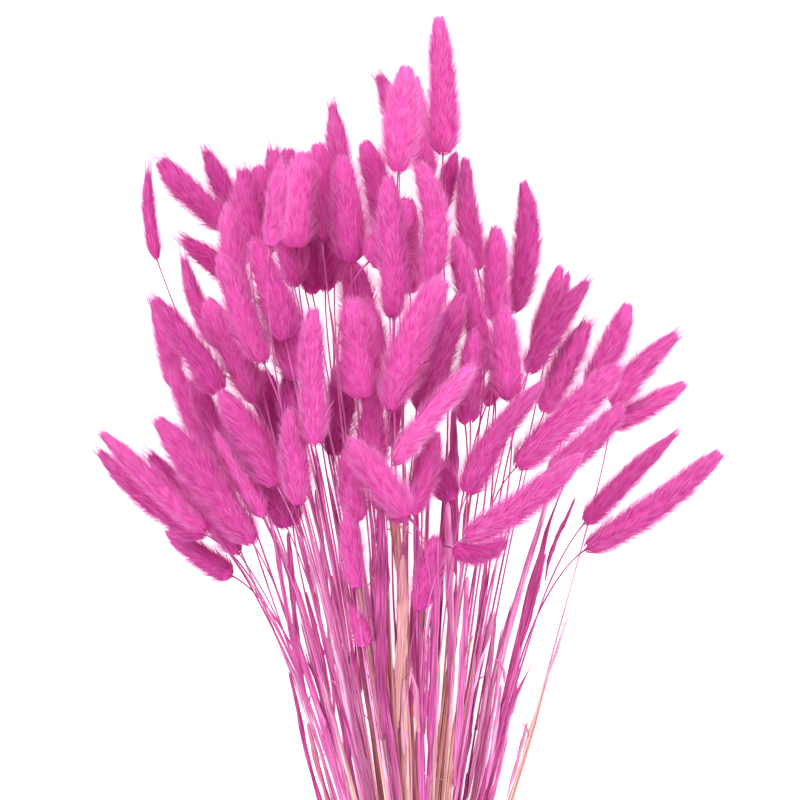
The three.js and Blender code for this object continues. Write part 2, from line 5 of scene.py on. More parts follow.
import bmesh
import bpy
import numpy as np
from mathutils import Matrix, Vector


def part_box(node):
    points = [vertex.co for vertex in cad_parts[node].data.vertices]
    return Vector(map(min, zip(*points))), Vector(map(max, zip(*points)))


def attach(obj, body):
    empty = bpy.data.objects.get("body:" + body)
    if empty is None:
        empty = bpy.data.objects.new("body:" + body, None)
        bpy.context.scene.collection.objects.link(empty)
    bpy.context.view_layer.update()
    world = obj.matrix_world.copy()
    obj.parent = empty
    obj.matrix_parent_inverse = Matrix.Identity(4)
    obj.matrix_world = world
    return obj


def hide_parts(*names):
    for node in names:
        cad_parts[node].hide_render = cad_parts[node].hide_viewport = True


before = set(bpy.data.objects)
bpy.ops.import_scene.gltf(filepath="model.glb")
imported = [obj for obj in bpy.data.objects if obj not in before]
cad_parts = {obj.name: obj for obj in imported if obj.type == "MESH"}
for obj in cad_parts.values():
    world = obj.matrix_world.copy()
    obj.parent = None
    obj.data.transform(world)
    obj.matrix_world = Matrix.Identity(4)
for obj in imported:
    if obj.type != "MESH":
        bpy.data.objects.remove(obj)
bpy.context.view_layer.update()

MM = 0.001

# Sizes of the bunch, as in the frame: feet, slots in the tie, lines of the stems, tie and leaves
FOOT_LENGTH = 42
FOOT_UNEVEN = 7
FOOT_SPREAD = 1.18
SLOT_PITCH = 2.4
SLOT_ROWS = [5, 7, 9, 9, 10, 11, 10, 9, 9, 7, 5]
GATHER_X = 6
STEM_AT_TIE = 0.85
LEAVE_REACH = 0.42
LEAVE_SPREAD = 0.3
ARRIVE_REACH = 0.15
LAYER_DEPTH = 60
PITCH_ANGLE = 7
TIE_END = 2
TIE_WIDTH = 12
TIE_WALL = 2.4
TIE_ROOM = 0.35
TIE_TURNS = 4
TIE_FLAT = 0.9
KNOT_SIZE = 3.4
TAIL_REACH = 62
LEAF_PLACE = 0.42
LEAF_ROOT = 4
LEAF_LENGTH = 46
LEAF_WAVE = 0.9
LEAF_LIFT = 0.17
LEAF_EVERY = 5

# A head's tip is found in the frame when a point of its node is this near
TIP_FOUND_WITHIN = 0.5

# The photograph's square frame on the bunch, its middle counted from the tie, and its viewpoint
PHOTO_SIDE = 400
PHOTO_MIDDLE = (0, 320)
PHOTO_HEIGHT = 70
CAMERA_HEIGHT = 9000

# The heads as they lie, from the left: base x, base y, tip x, tip y, fuzzy girth,
# layer from 1 at the back to 6 in front, for a bent head how far it bows to the right,
# and for one bent stem how far it swings out to the right. y counts from the tie.
HEADS = [
    (-122.5, 391, -127, 433, 8, 3),
    (-86, 407, -120, 440, 14.5, 2),
    (-77, 406, -97, 444.5, 13, 1),
    (-84, 382, -108, 400, 12.5, 2),
    (-89, 346, -108, 389, 12, 3),
    (-78.5, 367.5, -86.5, 417, 13.5, 4),
    (-68, 339, -89, 391, 15.5, 6),
    (-72, 319, -96, 370, 16, 5),
    (-90, 324, -122, 370, 14, 4),
    (-114, 327, -123.5, 368.5, 12, 3),
    (-84, 275, -113.5, 334, 14, 3),
    (-81, 284, -103.5, 329.5, 13.5, 2),
    (-97, 256, -148.5, 303, 13, 5),
    (-97.5, 252.5, -150, 293.5, 14, 4),
    (-97, 255.5, -125, 292, 12, 3),
    (-84.5, 232, -116, 254.5, 14, 3),
    (-73.5, 249, -120.5, 310, 16.5, 5),
    (-81, 243.5, -111, 292.5, 14, 4),
    (-68, 262, -91.5, 303, 11, 6),
    (-56.5, 256.5, -82.5, 305, 15, 3),
    (-61.5, 277.5, -89, 324, 16, 5),
    (-50.5, 268, -54.5, 315, 14.5, 5),
    (-53.5, 257, -58.5, 300, 11, 2),
    (-58.5, 292.5, -69, 334, 15, 2),
    (-50, 294, -56, 334, 14, 3),
    (-75, 389, -78.5, 435, 14, 3),
    (-67, 392, -71.5, 437, 13, 2),
    (-64.5, 396.5, -59, 437.5, 11, 6),
    (-60, 400, -64, 445.5, 13, 2),
    (-54, 400, -56.5, 446, 13, 1),
    (-52, 396, -48, 443.5, 15.5, 5),
    (-53, 377, -58.5, 424, 14, 4),
    (-57, 350, -72.5, 399, 14, 5),
    (-50, 330, -64, 380, 16.5, 4),
    (-42, 298, -43, 365, 13, 6),
    (-30, 417.5, -34, 467, 15, 4),
    (-39, 400, -41, 448, 13.5, 3),
    (-44, 373.5, -47, 420, 13, 2),
    (-37.5, 375, -39, 422.5, 13, 2),
    (-33, 379.5, -35, 427.5, 14, 1),
    (-24.5, 389, -29, 441, 14, 3),
    (-7.5, 402, -18, 449.5, 13.5, 3),
    (0, 437.5, -10.5, 482.5, 13, 1),
    (-1, 434, 3, 486.5, 16, 4),
    (15, 432, 8, 482, 14, 3),
    (21.5, 444, 19.5, 511.5, 17, 4),
    (18.5, 412.5, 28, 444, 12, 2),
    (39, 386, 33, 441, 16, 3),
    (45, 335.5, 27.5, 401, 12.5, 4),
    (48.5, 359, 48, 406, 15, 4),
    (56.5, 364.5, 62, 429, 15, 3, 4),
    (11, 373.5, 9.5, 437.5, 13.5, 5, 6.5),
    (-3.5, 361, -5.5, 431, 11, 5),
    (-15.5, 389, 4, 420, 18, 4),
    (5, 373.5, 4, 417.5, 12, 2),
    (-20, 355, -26, 389, 14, 3),
    (-19, 321, -24, 370, 17, 5),
    (-13, 315, -17, 370, 14, 4),
    (-4.5, 315, 21.5, 379.5, 19, 6),
    (10.5, 314.5, 30.5, 372, 18, 4),
    (-3, 288.5, 36, 336.5, 13, 6),
    (35, 309.5, 37, 354, 14, 4),
    (32.5, 308, 29, 327.5, 8, 3),
    (25, 269.5, 15.5, 291.5, 16, 3),
    (5, 263.5, 18, 304, 13.5, 5),
    (4.5, 262.5, -25, 300, 16, 6),
    (-14, 285, -13, 322.5, 15, 4),
    (-21.5, 259.5, -25.5, 295.5, 15.5, 5),
    (-22, 226.5, -26.5, 264.5, 10.5, 6),
    (-17.5, 197, -24, 216, 11.5, 6),
    (9, 215, 17.5, 251.5, 12.5, 6),
    (27, 246, 52, 250, 13.5, 5, 4),
    (33, 252, 89, 292, 16, 6),
    (75, 285, 111, 317, 15, 4),
    (33.5, 273.5, 70.5, 328, 15.5, 5),
    (58.5, 287, 108.5, 336.5, 17, 5),
    (64.5, 334, 93.5, 378.5, 15.5, 4),
    (67.5, 345, 80.5, 386.5, 12, 2),
    (74, 345, 84.5, 383, 10, 1),
    (72.5, 314, 94, 358.5, 15, 3),
    (94, 326, 114.5, 368, 14.5, 2),
    (107, 317.5, 138.5, 352.5, 15, 3, 0, 22),
    (105, 307.5, 143, 328, 13.5, 2),
    (93, 258.5, 138, 302.5, 12, 3),
    (94, 245.5, 160.5, 293.5, 15, 4),
    (55, 320, 52, 365.5, 16.5, 5),
    (43.5, 317.5, 57, 345, 12, 2),
    (-33.5, 292, -27.5, 340, 16, 1),
    (16, 336, 18.5, 370, 11, 1),
    (4, 261, -13.5, 272.5, 13, 4),
    (-4, 296.5, -1, 330, 9, 1),
]

# Head: share of its full girth along it, from its base at 0 to its tip at 1, and how lumpy it is
HEAD_PROFILE = [
    (-0.02, 0.28), (0.0, 0.45), (0.04, 0.70), (0.1, 0.90), (0.2, 1.02), (0.35, 1.04),
    (0.55, 0.99), (0.7, 0.92), (0.8, 0.83), (0.88, 0.70), (0.94, 0.54), (0.98, 0.41),
    (1.0, 0.34), (1.03, 0.22), (1.07, 0.08), (1.2, 0),
]
LUMPS = 0.05

# How full most heads are, and how much fuller or slimmer than that some are
FULLNESS = 1.15
FULLER = {
    0: 0.95, 1: 1.1, 3: 1.12, 4: 0.9, 5: 1.08, 6: 1.06, 7: 1.12, 8: 1.12, 9: 1.08, 10: 1.25, 11: 1.1,
    12: 0.93, 13: 1.05, 16: 1.12, 17: 1.1, 20: 1.18, 21: 1.05, 22: 1.15, 23: 1.25, 24: 1.05,
    25: 1.25, 26: 1.15, 28: 1.2, 29: 1.2, 30: 1.18, 31: 1.18, 32: 1.28, 33: 1.45, 34: 1.1, 35: 0.97,
    36: 1.2, 38: 1.2, 39: 1.2, 40: 1.3, 41: 1.3, 42: 1.05, 43: 1.15, 45: 0.97, 46: 0.92, 47: 0.82,
    48: 1.14, 51: 1.2, 52: 1.35, 53: 1.42, 54: 1.35, 55: 1.45, 56: 1.32, 57: 1.45, 58: 1.06, 61: 1.1,
    62: 1.1, 64: 1.1, 65: 1.05, 66: 1.25, 67: 1.1, 68: 1.1, 70: 1.08, 73: 0.97, 74: 0.95,
    75: 1.05, 76: 0.87, 77: 0.82, 78: 0.9, 79: 1.02, 81: 0.95, 82: 0.9, 83: 0.97, 84: 1.03, 85: 1.08,
    86: 0.85, 87: 1.15, 89: 1.25,
}

# How far heads bow to the right, and how far their stems swing to the right
EXTRA_BOWS = {
    0: -1.5, 1: -1.6, 2: -1, 4: -2.5, 9: 1.6, 13: -3, 15: -1, 16: 1, 34: -1, 35: 1, 40: 1, 41: 2,
    42: 3.5, 44: -2.5, 45: 0.8, 47: -2.2, 53: 3, 55: 2, 58: -3.5, 72: 3, 73: 3, 74: -3.5, 76: -1.2,
    80: 2.2, 81: -2, 82: 1.2, 83: -1, 84: 2.6,
}
EXTRA_SWINGS = {
    0: 5, 1: 9, 2: 9, 3: 1, 4: 3, 6: 3, 7: 4, 9: 11, 10: -3, 11: 4, 12: 5, 13: 5, 14: 12, 15: 6, 16: -3,
    17: 4, 18: -2, 20: 4, 22: -3, 24: 3, 26: 3, 28: 9, 29: 8, 30: 3, 31: 8, 32: -1, 33: 1, 37: 8, 80: 4,
    82: 7, 87: 9,
}

# How much heads slim towards the tip, where the tip begins, and how pointed it is
TAPERS = {
    4: 0.25, 8: 0.15, 9: 0.15, 12: 0.15, 13: 0.15, 35: 0.2, 45: 0.22, 47: 0.2, 74: 0.2, 82: 0.15,
    83: 0.2,
}
POINT_START = 0.7
POINT = 0.96
POINTS = {1: 0.92, 12: 0.95, 28: 0.88, 29: 0.88, 30: 0.87, 45: 0.86, 58: 0.88, 69: 0.88}

# How pale heads are: their dye differs at random, they are painted lighter in the front layers and painted
# darker in the back layers as light and shade fall on the pile, and the listed heads are paler or deeper
# than that, partly their own dye and partly painted light and shade
HEAD_TONE = 0.5
PAINTED_LIGHT_PER_LAYER = 0.07
MIDDLE_LAYER = 3.5
HEAD_TONES_AND_PAINTED_LIGHT = {
    2: -0.1, 3: -0.1, 5: 0.1, 6: -0.05, 7: -0.1, 8: -0.15, 12: 0.05, 13: -0.08, 14: -0.25, 16: -0.12,
    17: -0.15, 19: -0.15, 20: -0.15, 21: -0.1, 22: -0.2, 23: -0.35, 24: -0.15, 28: 0.15, 30: 0.2,
    31: -0.05, 32: -0.15, 33: -0.05, 34: -0.05, 35: 0.15, 36: 0.1, 37: -0.2, 38: -0.25, 39: -0.25,
    40: 0.1, 41: -0.1, 42: 0.2, 43: 0.3, 44: 0.25, 45: 0.28, 47: 0.1, 49: 0.05, 50: -0.1, 52: -0.1,
    53: 0.02, 54: -0.2, 55: -0.05, 58: 0.02, 59: -0.1, 60: 0.2, 63: -0.25, 65: -0.1, 66: 0.1, 67: 0.1,
    68: -0.1, 69: -0.15, 70: -0.15, 71: -0.3, 73: 0.1, 74: -0.1, 75: 0.1, 76: -0.25, 77: 0.3, 78: 0.25,
    79: 0.18, 80: 0.2, 81: 0.2, 82: 0.4, 83: 0.1, 84: 0.05, 86: -0.1, 87: -0.3, 90: -0.1,
}

# The dense body under the hairs, as a share of the fur's reach
BODY_SHARE = 0.62
BODY_SIDES = 12
BODY_RINGS = 14

# Tufts of hairs, set in a spiral: how many there are along a head, and how many are loose
TUFTS_PER_LENGTH = 13.0
LEAST_TUFTS = 30
GOLDEN_ANGLE = math.radians(137.5)
LOOSE_SHARE = 0.3

# Hairs: how many for half of a head's length times its girth, their size and how they lie
HAIRS_PER_AREA = 6.3
HAIR_LENGTH = 7.6
HAIR_ON_SHORT_HEAD = 0.55
HAIR_GAINS = 0.45
LONG_HEAD = 45
HAIR_WIDTH = 0.30
HAIR_RIDGE = 0.6
HAIR_UNEVEN = 0.38
ROOT_DEPTH = 0.06
TUFT_GATHERS = 0.6
HAIR_STAND = 1.05
TIP_CLOSES = 0.97
ABOVE_FLOOR = 0.25
FUZZY_HEADS = {68: 0.12, 69: 0.2, 70: 0.15, 71: 0.06, 90: 0.1}

# Wisps: long stray hairs, mostly near the tip. Some heads have more of them.
WISPS = 25
WISPS_IF_WISPY = 160
WISPY_HEADS = [0, 1, 2, 3, 4, 9, 10, 11, 12, 13, 14, 16, 17, 24, 25, 28, 35, 42, 76, 79, 81, 83]
WISP_START = 0.3
WISP_SPAN = 0.65
WISP_LENGTHS = (1.4, 2.6)
WISP_STANDS = (0.2, 0.85)
WISP_WIDTH = 0.95
WISP_SHADE = 0.12

# Dried blades on some of the strands: the strand, points along the blade, its width,
# how pale it is and how much of it the dye missed
BLADES = [
    (86, [(27.8, 232), (27, 260), (26.8, 290), (27.2, 317)], 5.4, 0.1, 0),
    (83, [(73, 229), (76.5, 245), (82, 257.5), (88, 271)], 2.2, 0.1, 0),
    (85, [(52, 178), (51.5, 185.5), (47.5, 190.5)], 1.6, 0.4, 0),
    (37, [(-35.5, 320), (-33, 342), (-35, 366)], 1.5, 0.5, 0.3),
    (64, [(-1.5, 155), (0.5, 195), (1.5, 217), (1.5, 243)], 5.8, 0.7, 0.4),
    (65, [(15, 130), (16, 170), (17.5, 210), (19, 250)], 4.5, 0.15, 0),
    (71, [(27, 125), (29.5, 160), (32, 200), (33.5, 232)], 4.0, 0.5, 0.1),
    (74, [(43, 125), (47, 150), (50.5, 178)], 2.5, 0.8, 0),
    (31, [(-25, 125), (-28, 160), (-31.5, 200), (-34, 232)], 4.0, 0.35, 0.2),
    (51, [(3.5, 125), (5, 160), (6, 200), (6.5, 225)], 3.5, 0.2, 0),
    (60, [(-8, 150), (-9.5, 195), (-9, 232), (-9.5, 266)], 7, 0, 0),
    (59, [(11, 150), (9, 195), (8.5, 232), (8, 268)], 4.5, 0.3, 0),
    (63, [(25, 155), (25.5, 200), (24.5, 240), (24, 270)], 4.5, 0.7, 0),
    (3, [(-33, 160), (-35, 200), (-38.5, 240), (-42.5, 275)], 3.2, 0.75, 0),
    (19, [(-46, 165), (-52, 205), (-54.5, 235), (-56, 254)], 3.2, 0, 0),
    (18, [(-45, 162), (-54.5, 205), (-60.5, 240), (-65, 262)], 2.6, 0.2, 0),
    (82, [(60.5, 195), (65, 210), (69, 226), (73.5, 243)], 2.6, 0.35, 0),
    (9, [(-17, 62), (-40.5, 119), (-50, 157), (-56, 183)], 2.6, 0.3, 0),
    (79, [(33.8, 119), (38.5, 144), (44, 178), (48, 210)], 2.8, 0.8, 0),
    (72, [(12.3, 153), (13.4, 180), (14.4, 203)], 2.2, 0.15, 0.2),
    (10, [(-24, 88), (-36, 118), (-43, 143), (-46.5, 158)], 2.9, 0.5, 0.3),
    (83, [(27, 82), (45.6, 119), (52.5, 148), (58, 174)], 2.4, 0.6, 0),
    (81, [(53.5, 119), (60, 142), (64, 158)], 2.2, 0.9, 0.3),
    (22, [(-34.6, 171), (-39.5, 194), (-43, 208), (-47, 224)], 2.4, 0.3, 0),
]
BLADE_LIFT = 2.5
BLADE_OUTLINE = [(0, 0.1), (0.06, 0.5), (0.25, 0.95), (0.6, 1), (0.88, 0.8), (0.96, 0.5), (1, 0.15)]
BLADE_ARCH = 0.6
BLADE_SHADE = 0.4

# Stem: half width along it, from the cut end at -1 and the tie at 0 to the head at 1
STRAW_PROFILE = [(-1, 0.8), (0, 0.8), (0.3, 0.7), (0.7, 0.5), (0.94, 0.4), (1, 0.5)]
STRAW_SIDES = 6
STRAW_STEPS = 40
STRAW_UNEVEN = 0.08
STRAW_RADIUS = 0.6
JOINT_GIRTH = 1.45
STEM_SAMPLES = 60
STEM_WAVE = 0.7
WAVY_STEMS = {80: 1.7, 82: 1.2, 75: 1.3, 48: 1.3, 50: 1.4, 11: 1.1, 16: 1.2}

# The neck below a head is darker and deeper in colour: painted shade where it runs in under and between the
# heads, and partly the neck's own deeper colour
NECK_PAINTED_SHADE_START = 0.45
NECK_PAINTED_SHADE = 0.5
NECK_DYE_AND_SHADE_START = 0.55
NECK_DYE_AND_SHADE = 0.55
STEM_TONE = 0.8

# Bare straw, where the dye missed: most in the middle of the bunch, and on each stem most at its foot.
# One strand is half bare, with its own straw, paleness and shade. Stems on the left are paler.
STRAW_PLACE = 0.4
STRAW_SPREAD = 29
BARE_STEM = (1.35, 1.6)
BARE_SHEATH = (1.3, 1.5)
HALF_BARE = 81
HALF_BARE_LOOKS = (0.72, 1.2, 0.6)
HALF_BARE_LEAF = 0.45
PALER_SIDE = -20
PALER = 0.25

# Sheaths: opening and width along one, and their kinds. A kind is how far up the stem it ends, or
# between which two places, then its width and how far it opens.
SHEATH_WALL = 0.16
SHEATH_OPENING = [(0, 0), (0.42, 1), (0.75, 0.8), (1, 0.3)]
SHEATH_OUTLINE = [(0, 1), (0.55, 1), (0.8, 0.75), (0.95, 0.5), (1, 0.2)]
ROLLED = 0.95
ROLLED_WIDTH = 4.6
HALF_BARE_SHEATH = (0.5, 5.4, 1.9)
RIBBON = (7.0, 3.0)
BROAD = (6.0, 2.1)
UNDER_BROAD = (0.75, 5.6, 2.2)
WIRY_SHEATH = (0.24, 4.6, 1.3)
OUTER_SHEATH = ((0.5, 0.7), 4.8, 1.6)
INNER_SHEATH = ((0.3, 0.5), 4.6, 1.4)
LONE_SHEATH = ((0.3, 0.6), 4.4, 1.25)
LONE_SHARE = 0.7

# Strands with broad sheaths and how far these reach, those of them with a flat ribbon, and strands
# with a wiry stem. Of the others, every third has a pair of sheaths.
BROAD_SHEATHS = {
    6: 0.5, 8: 0.6, 11: 0.8, 16: 0.8, 20: 0.62, 24: 0.65, 27: 0.6, 35: 0.55, 44: 0.6, 50: 0.5, 52: 0.6,
    56: 0.65, 60: 0.7, 62: 0.66, 64: 0.7, 72: 0.75, 77: 0.66, 80: 0.74, 82: 0.76, 83: 0.62, 84: 0.6,
    89: 0.6, 90: 0.6,
}
FLAT_RIBBONS = [80, 82, 83]
WIRY_STEMS = [0, 9, 12, 13, 14, 15, 17, 81]
PAIR_EVERY = 3

# Torn scraps on a stem
SCRAPS_AT_MOST = 2
SCRAP_ABOVE_FLOOR = 0.1

# Faces across and along the flat forms, and a leaf's side in degrees, width, outline and arch
BLADE_ACROSS = 4
BLADE_STEPS = 26
SCRAP_ACROSS = 2
SCRAP_STEPS = 6
LEAF_SIDE = 60
LEAF_WIDTH = 3.6
LEAF_OUTLINE = [(0, 0.15), (0.12, 0.6), (0.45, 1), (0.75, 0.8), (0.92, 0.4), (1, 0.06)]
LEAF_ARCH = 0.9

# Twine: two plies in turns, a knot and two loose ends, each with its side and its drift
PLY_RADIUS = 0.72
PLY_OFFSET = 0.66
PLY_TWIST = 8
PLY_UNEVEN = 0.07
PLY_SIDES = 8
TURN_STEPS = 420
KNOT_LENGTH = 34
KNOT_STEPS = 60
TAIL_LENGTH = 19
TAIL_STEPS = 24
TAILS = [(1, 5), (-1, -4)]
ALONG_BUNCH = (0.0, 1.0, 0.0)

# Colours, in linear light
# Fur from root to tip: the deep magenta at the root is painted shade deep in the fur, and the pale pink at
# the tip is painted light through the hair tips
FUR_SHADE_TO_LIGHT_PINKS = [(0, (0.55, 0.021, 0.27)), (0.45, (0.79, 0.108, 0.475)), (1, (0.86, 0.35, 0.70))]
STRAW_PINKS = [(0, (0.20, 0.015, 0.09)), (0.3, (0.47, 0.05, 0.25)), (0.6, (0.68, 0.13, 0.42)),
               (0.82, (0.77, 0.27, 0.56)), (1, (0.84, 0.54, 0.70))]
BARE_STRAWS = [(0, (0.34, 0.09, 0.10)), (0.4, (0.60, 0.25, 0.23)),
               (0.7, (0.78, 0.44, 0.39)), (1, (0.88, 0.66, 0.59))]
JUTE_BROWNS = [(0.2, (0.28, 0.17, 0.08)), (0.5, (0.52, 0.37, 0.19)), (0.8, (0.72, 0.57, 0.34))]
FLOOR_WHITES = [(0, (0.93, 0.93, 0.93)), (1, (0.95, 0.95, 0.95))]

# Floor and light. The floor's side, its place and how far the camera sees are in metres.
FLOOR_SIDE = 8
FLOOR_TOP = -0.0004
FLOOR_GLOW = 0.75
SKY_LIGHT = 1.3
SUN_LIGHT = 1.1
SUN_TILT = (math.radians(-38), math.radians(-12), 0)
SUN_WIDTH = math.radians(25)
CAMERA_SEES = 100


def random_of(*numbers):
    """Random draws that come out the same in every run."""
    return np.random.default_rng(numbers)


def unit(vectors):
    return vectors / np.linalg.norm(vectors, axis=-1, keepdims=True)


def around(direction, angle, up=(0.0, 0.0, 1.0)):
    """Directions square to a middle line: 0 is sideways, and a quarter turn is towards up."""
    side = unit(np.cross(direction, up))
    top = np.cross(side, direction)
    angle = np.asarray(angle, float)[..., None]
    return side * np.cos(angle) + top * np.sin(angle)


# Strands
class Strand:
    """One head with its stem, where the frame holds it."""

    def __init__(self, number, row):
        base_x, base_y, tip_x, tip_y, girth, layer, bow, swing = (list(row) + [0, 0])[:8]
        self.number = number
        self.base = np.array([base_x - GATHER_X, base_y], float)
        self.tip = np.array([tip_x - GATHER_X, tip_y], float)
        self.girth = girth
        self.layer = layer
        self.order = layer - base_y / LAYER_DEPTH
        self.slope = (base_x - GATHER_X) / base_y
        self.pitch = math.radians(self.differs(2.4) * PITCH_ANGLE)
        self.waviness = 9 + 5 * self.differs(1.9)
        self.fullness = FULLNESS * FULLER.get(number, 1)
        self.bow = bow + EXTRA_BOWS.get(number, 0.8 * self.differs(7.3))
        self.swing = swing + EXTRA_SWINGS.get(number, 0)
        self.taper = TAPERS.get(number, 0.06 * self.differs(4.3))
        self.belly = 1 + 0.16 * self.differs(3.7)
        self.sweep = 0.3 * self.differs(5.1)
        self.point = POINTS.get(number, POINT + 0.06 * self.differs(2.9))
        self.run = self.tip - self.base
        self.length = float(np.hypot(*self.run))
        self.height = 0.0

    def differs(self, pace):
        """A number from -1 to 1 that differs from strand to strand."""
        return math.sin(self.number * pace)

    def head_point(self, t):
        """Middle line of the head, with t from 0 at its base to 1 at its tip."""
        t = np.asarray(t, float)
        side = 4 * self.bow * t * (1 - t) / self.length
        return np.stack([
            self.base[0] + self.run[0] * t + self.run[1] * side,
            self.base[1] + self.run[1] * t - self.run[0] * side,
            self.height + math.tan(self.pitch) * self.length * t,
        ], axis=-1)

    def shape_stem(self):
        """Handles of the stem's middle line, from the tie to the head."""
        start = np.array([self.slot[0], TIE_WIDTH / 2 + TIE_END, self.slot[1]])
        end = self.head_point(0.0)
        arrival = unit(self.head_point(0.02) - end)
        reach = np.linalg.norm(end - start)
        leave = start + (end - start) * LEAVE_SPREAD
        leave[0] += self.swing
        leave[1] = start[1] + reach * LEAVE_REACH
        arrive = end - arrival * reach * ARRIVE_REACH
        arrive[0] += self.swing
        self.handles = (start, leave, arrive, end)
        steps = np.diff(self.stem_point(np.linspace(0, 1, STEM_SAMPLES)), axis=0)
        self.stem_length = float(np.sum(np.linalg.norm(steps, axis=1)))

    def stem_point(self, u):
        """Middle line of the stem, with u from -1 at its cut end and 0 at the tie to 1 at the head."""
        u = np.asarray(u, float)[..., None]
        start, leave, arrive, end = self.handles
        above = np.maximum(u, 0)
        below = np.maximum(-u, 0)
        rest = 1 - above
        stem = start * rest ** 3 + leave * (3 * rest * rest * above) + arrive * (3 * rest * above * above)
        foot = np.array([self.slot[0] * (FOOT_SPREAD - 1), -self.foot - start[1], 0])
        wave = WAVY_STEMS.get(self.number, STEM_WAVE) * 4 * above * rest
        wave = wave * np.sin(above * self.waviness + self.number)
        return stem + end * above ** 3 + foot * below + wave * np.array([1.0, 0.0, 0.4])


def tie_radius():
    """Inner radius of the tie: it clears the outermost stems of every row."""
    middle = (len(SLOT_ROWS) - 1) / 2
    corners = [((count - 1) / 2, level - middle) for level, count in enumerate(SLOT_ROWS)]
    return max(math.hypot(*corner) for corner in corners) * SLOT_PITCH + STEM_AT_TIE + TIE_ROOM


def gather_strands():
    """Rows of strands at the tie, the lowest row first, each from left to right."""
    strands = [Strand(number, row) for number, row in enumerate(HEADS)]
    strands.sort(key=lambda strand: strand.order)
    rows_height = (len(SLOT_ROWS) - 1) * SLOT_PITCH
    lowest = tie_radius() + TIE_WALL - TIE_FLAT - rows_height / 2
    rows = []
    first = 0
    for level, count in enumerate(SLOT_ROWS):
        row = sorted(strands[first:first + count], key=lambda strand: strand.slope)
        for place, strand in enumerate(row):
            strand.slot = ((place - (count - 1) / 2) * SLOT_PITCH, lowest + level * SLOT_PITCH)
            strand.foot = FOOT_LENGTH - FOOT_UNEVEN * abs(math.sin(level * 5 + (place // 2) * 3))
            strand.is_right = place % 2 == 1
            strand.has_leaf = strands.index(strand) % LEAF_EVERY == 2
        rows.append(row)
        first += count
    return rows


# Where the frame holds the tie says how far the bunch is shifted from the list above
TIE_LOW, TIE_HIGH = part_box("twine_tie")
SHIFT = np.array([(TIE_LOW.x + TIE_HIGH.x) / 2, (TIE_LOW.y + TIE_HIGH.y) / 2, 0.0]) / MM


def points_of(mesh):
    """The points of a mesh, one in each row."""
    points = np.zeros(len(mesh.vertices) * 3)
    mesh.vertices.foreach_get("co", points)
    return points.reshape(-1, 3)


def find_height(strand, node):
    """Reads from the frame how high a strand lies, at the tip of its head."""
    points = points_of(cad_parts[node].data) / MM - SHIFT
    away = np.hypot(points[:, 0] - strand.tip[0], points[:, 1] - strand.tip[1])
    tip = points[np.argmin(away)]
    if away.min() > TIP_FOUND_WITHIN:
        raise ValueError(f"{node} holds no head tip {strand.number}: {away.min():.2f} mm away")
    strand.height = tip[2] - math.tan(strand.pitch) * strand.length


# Straight forms, each modelled once. Every strand gets copies, bent along its own lines.
def deselect_all():
    for obj in bpy.context.selected_objects:
        obj.select_set(False)


class Form:
    """Points and triangles of a finished straight form, taken from the object that modelled it."""

    def __init__(self, obj):
        bpy.ops.object.mode_set(mode="EDIT")
        bpy.ops.mesh.select_all(action="SELECT")
        bpy.ops.mesh.quads_convert_to_tris()
        bpy.ops.object.mode_set(mode="OBJECT")
        self.points = points_of(obj.data)
        faces = np.zeros(len(obj.data.polygons) * 3, int)
        obj.data.polygons.foreach_get("vertices", faces)
        self.faces = faces.reshape(-1, 3)
        bpy.data.objects.remove(obj)


def split_long_edges(axis, cuts):
    """Cuts every edge that runs along an axis into equal lengths."""
    bpy.ops.object.mode_set(mode="EDIT")
    mesh = bmesh.from_edit_mesh(bpy.context.object.data)
    bpy.ops.mesh.select_mode(type="EDGE")
    bpy.ops.mesh.select_all(action="DESELECT")
    for edge in mesh.edges:
        line = edge.verts[1].co - edge.verts[0].co
        edge.select_set(abs(line[axis]) > 0.99 * line.length)
    bmesh.update_edit_mesh(bpy.context.object.data)
    bpy.ops.mesh.subdivide(number_cuts=cuts)
    bpy.ops.object.mode_set(mode="OBJECT")


def model_hair():
    """One hair: a slim three-sided spike along Z, with a ridge on its outer side."""
    deselect_all()
    bpy.ops.mesh.primitive_cone_add(vertices=3, radius1=0.5, radius2=0, depth=1, location=(0, 0, 0.5))
    bpy.ops.object.transform_apply(location=True)
    return Form(bpy.context.object)


def model_head_body():
    """The dense body under the hairs: a ball along Z, which each head draws out to its own shape."""
    deselect_all()
    bpy.ops.mesh.primitive_uv_sphere_add(segments=BODY_SIDES, ring_count=BODY_RINGS, radius=1)
    return Form(bpy.context.object)


def model_straw(sides, steps):
    """A round straw along Z, from 0 to 1."""
    deselect_all()
    bpy.ops.mesh.primitive_cylinder_add(vertices=sides, radius=1, depth=1, location=(0, 0, 0.5))
    bpy.ops.object.transform_apply(location=True)
    split_long_edges(2, steps - 1)
    return Form(bpy.context.object)


def model_blade(across, steps):
    """A dry blade along Y, from 0 to 1: a thin sheet with a wall of its own."""
    deselect_all()
    bpy.ops.mesh.primitive_plane_add(size=1, location=(0, 0.5, 0))
    bpy.ops.object.transform_apply(location=True)
    split_long_edges(0, across - 1)
    split_long_edges(1, steps - 1)
    bpy.ops.object.modifier_add(type="SOLIDIFY")
    wall = bpy.context.object.modifiers["Solidify"]
    wall.thickness = 1
    wall.offset = 0
    bpy.ops.object.modifier_apply(modifier=wall.name)
    return Form(bpy.context.object)


# Pieces. A face knows its finish by its place in the list of its piece's materials.
FUR, STEM, SHEATH = range(3)
TWINE = 0


def soften(points, faces, soft):
    """Corner normals that follow the soft outline of the fur on every face that looks its way."""
    a, b, c = points[faces[:, 0]], points[faces[:, 1]], points[faces[:, 2]]
    flat = unit(np.cross(b - a, c - a))[:, None]
    normals = unit(soft[faces] + flat * 0.5)
    looks_away = np.sum(normals * flat, axis=-1, keepdims=True) < 0.15
    return np.where(looks_away, flat, normals)


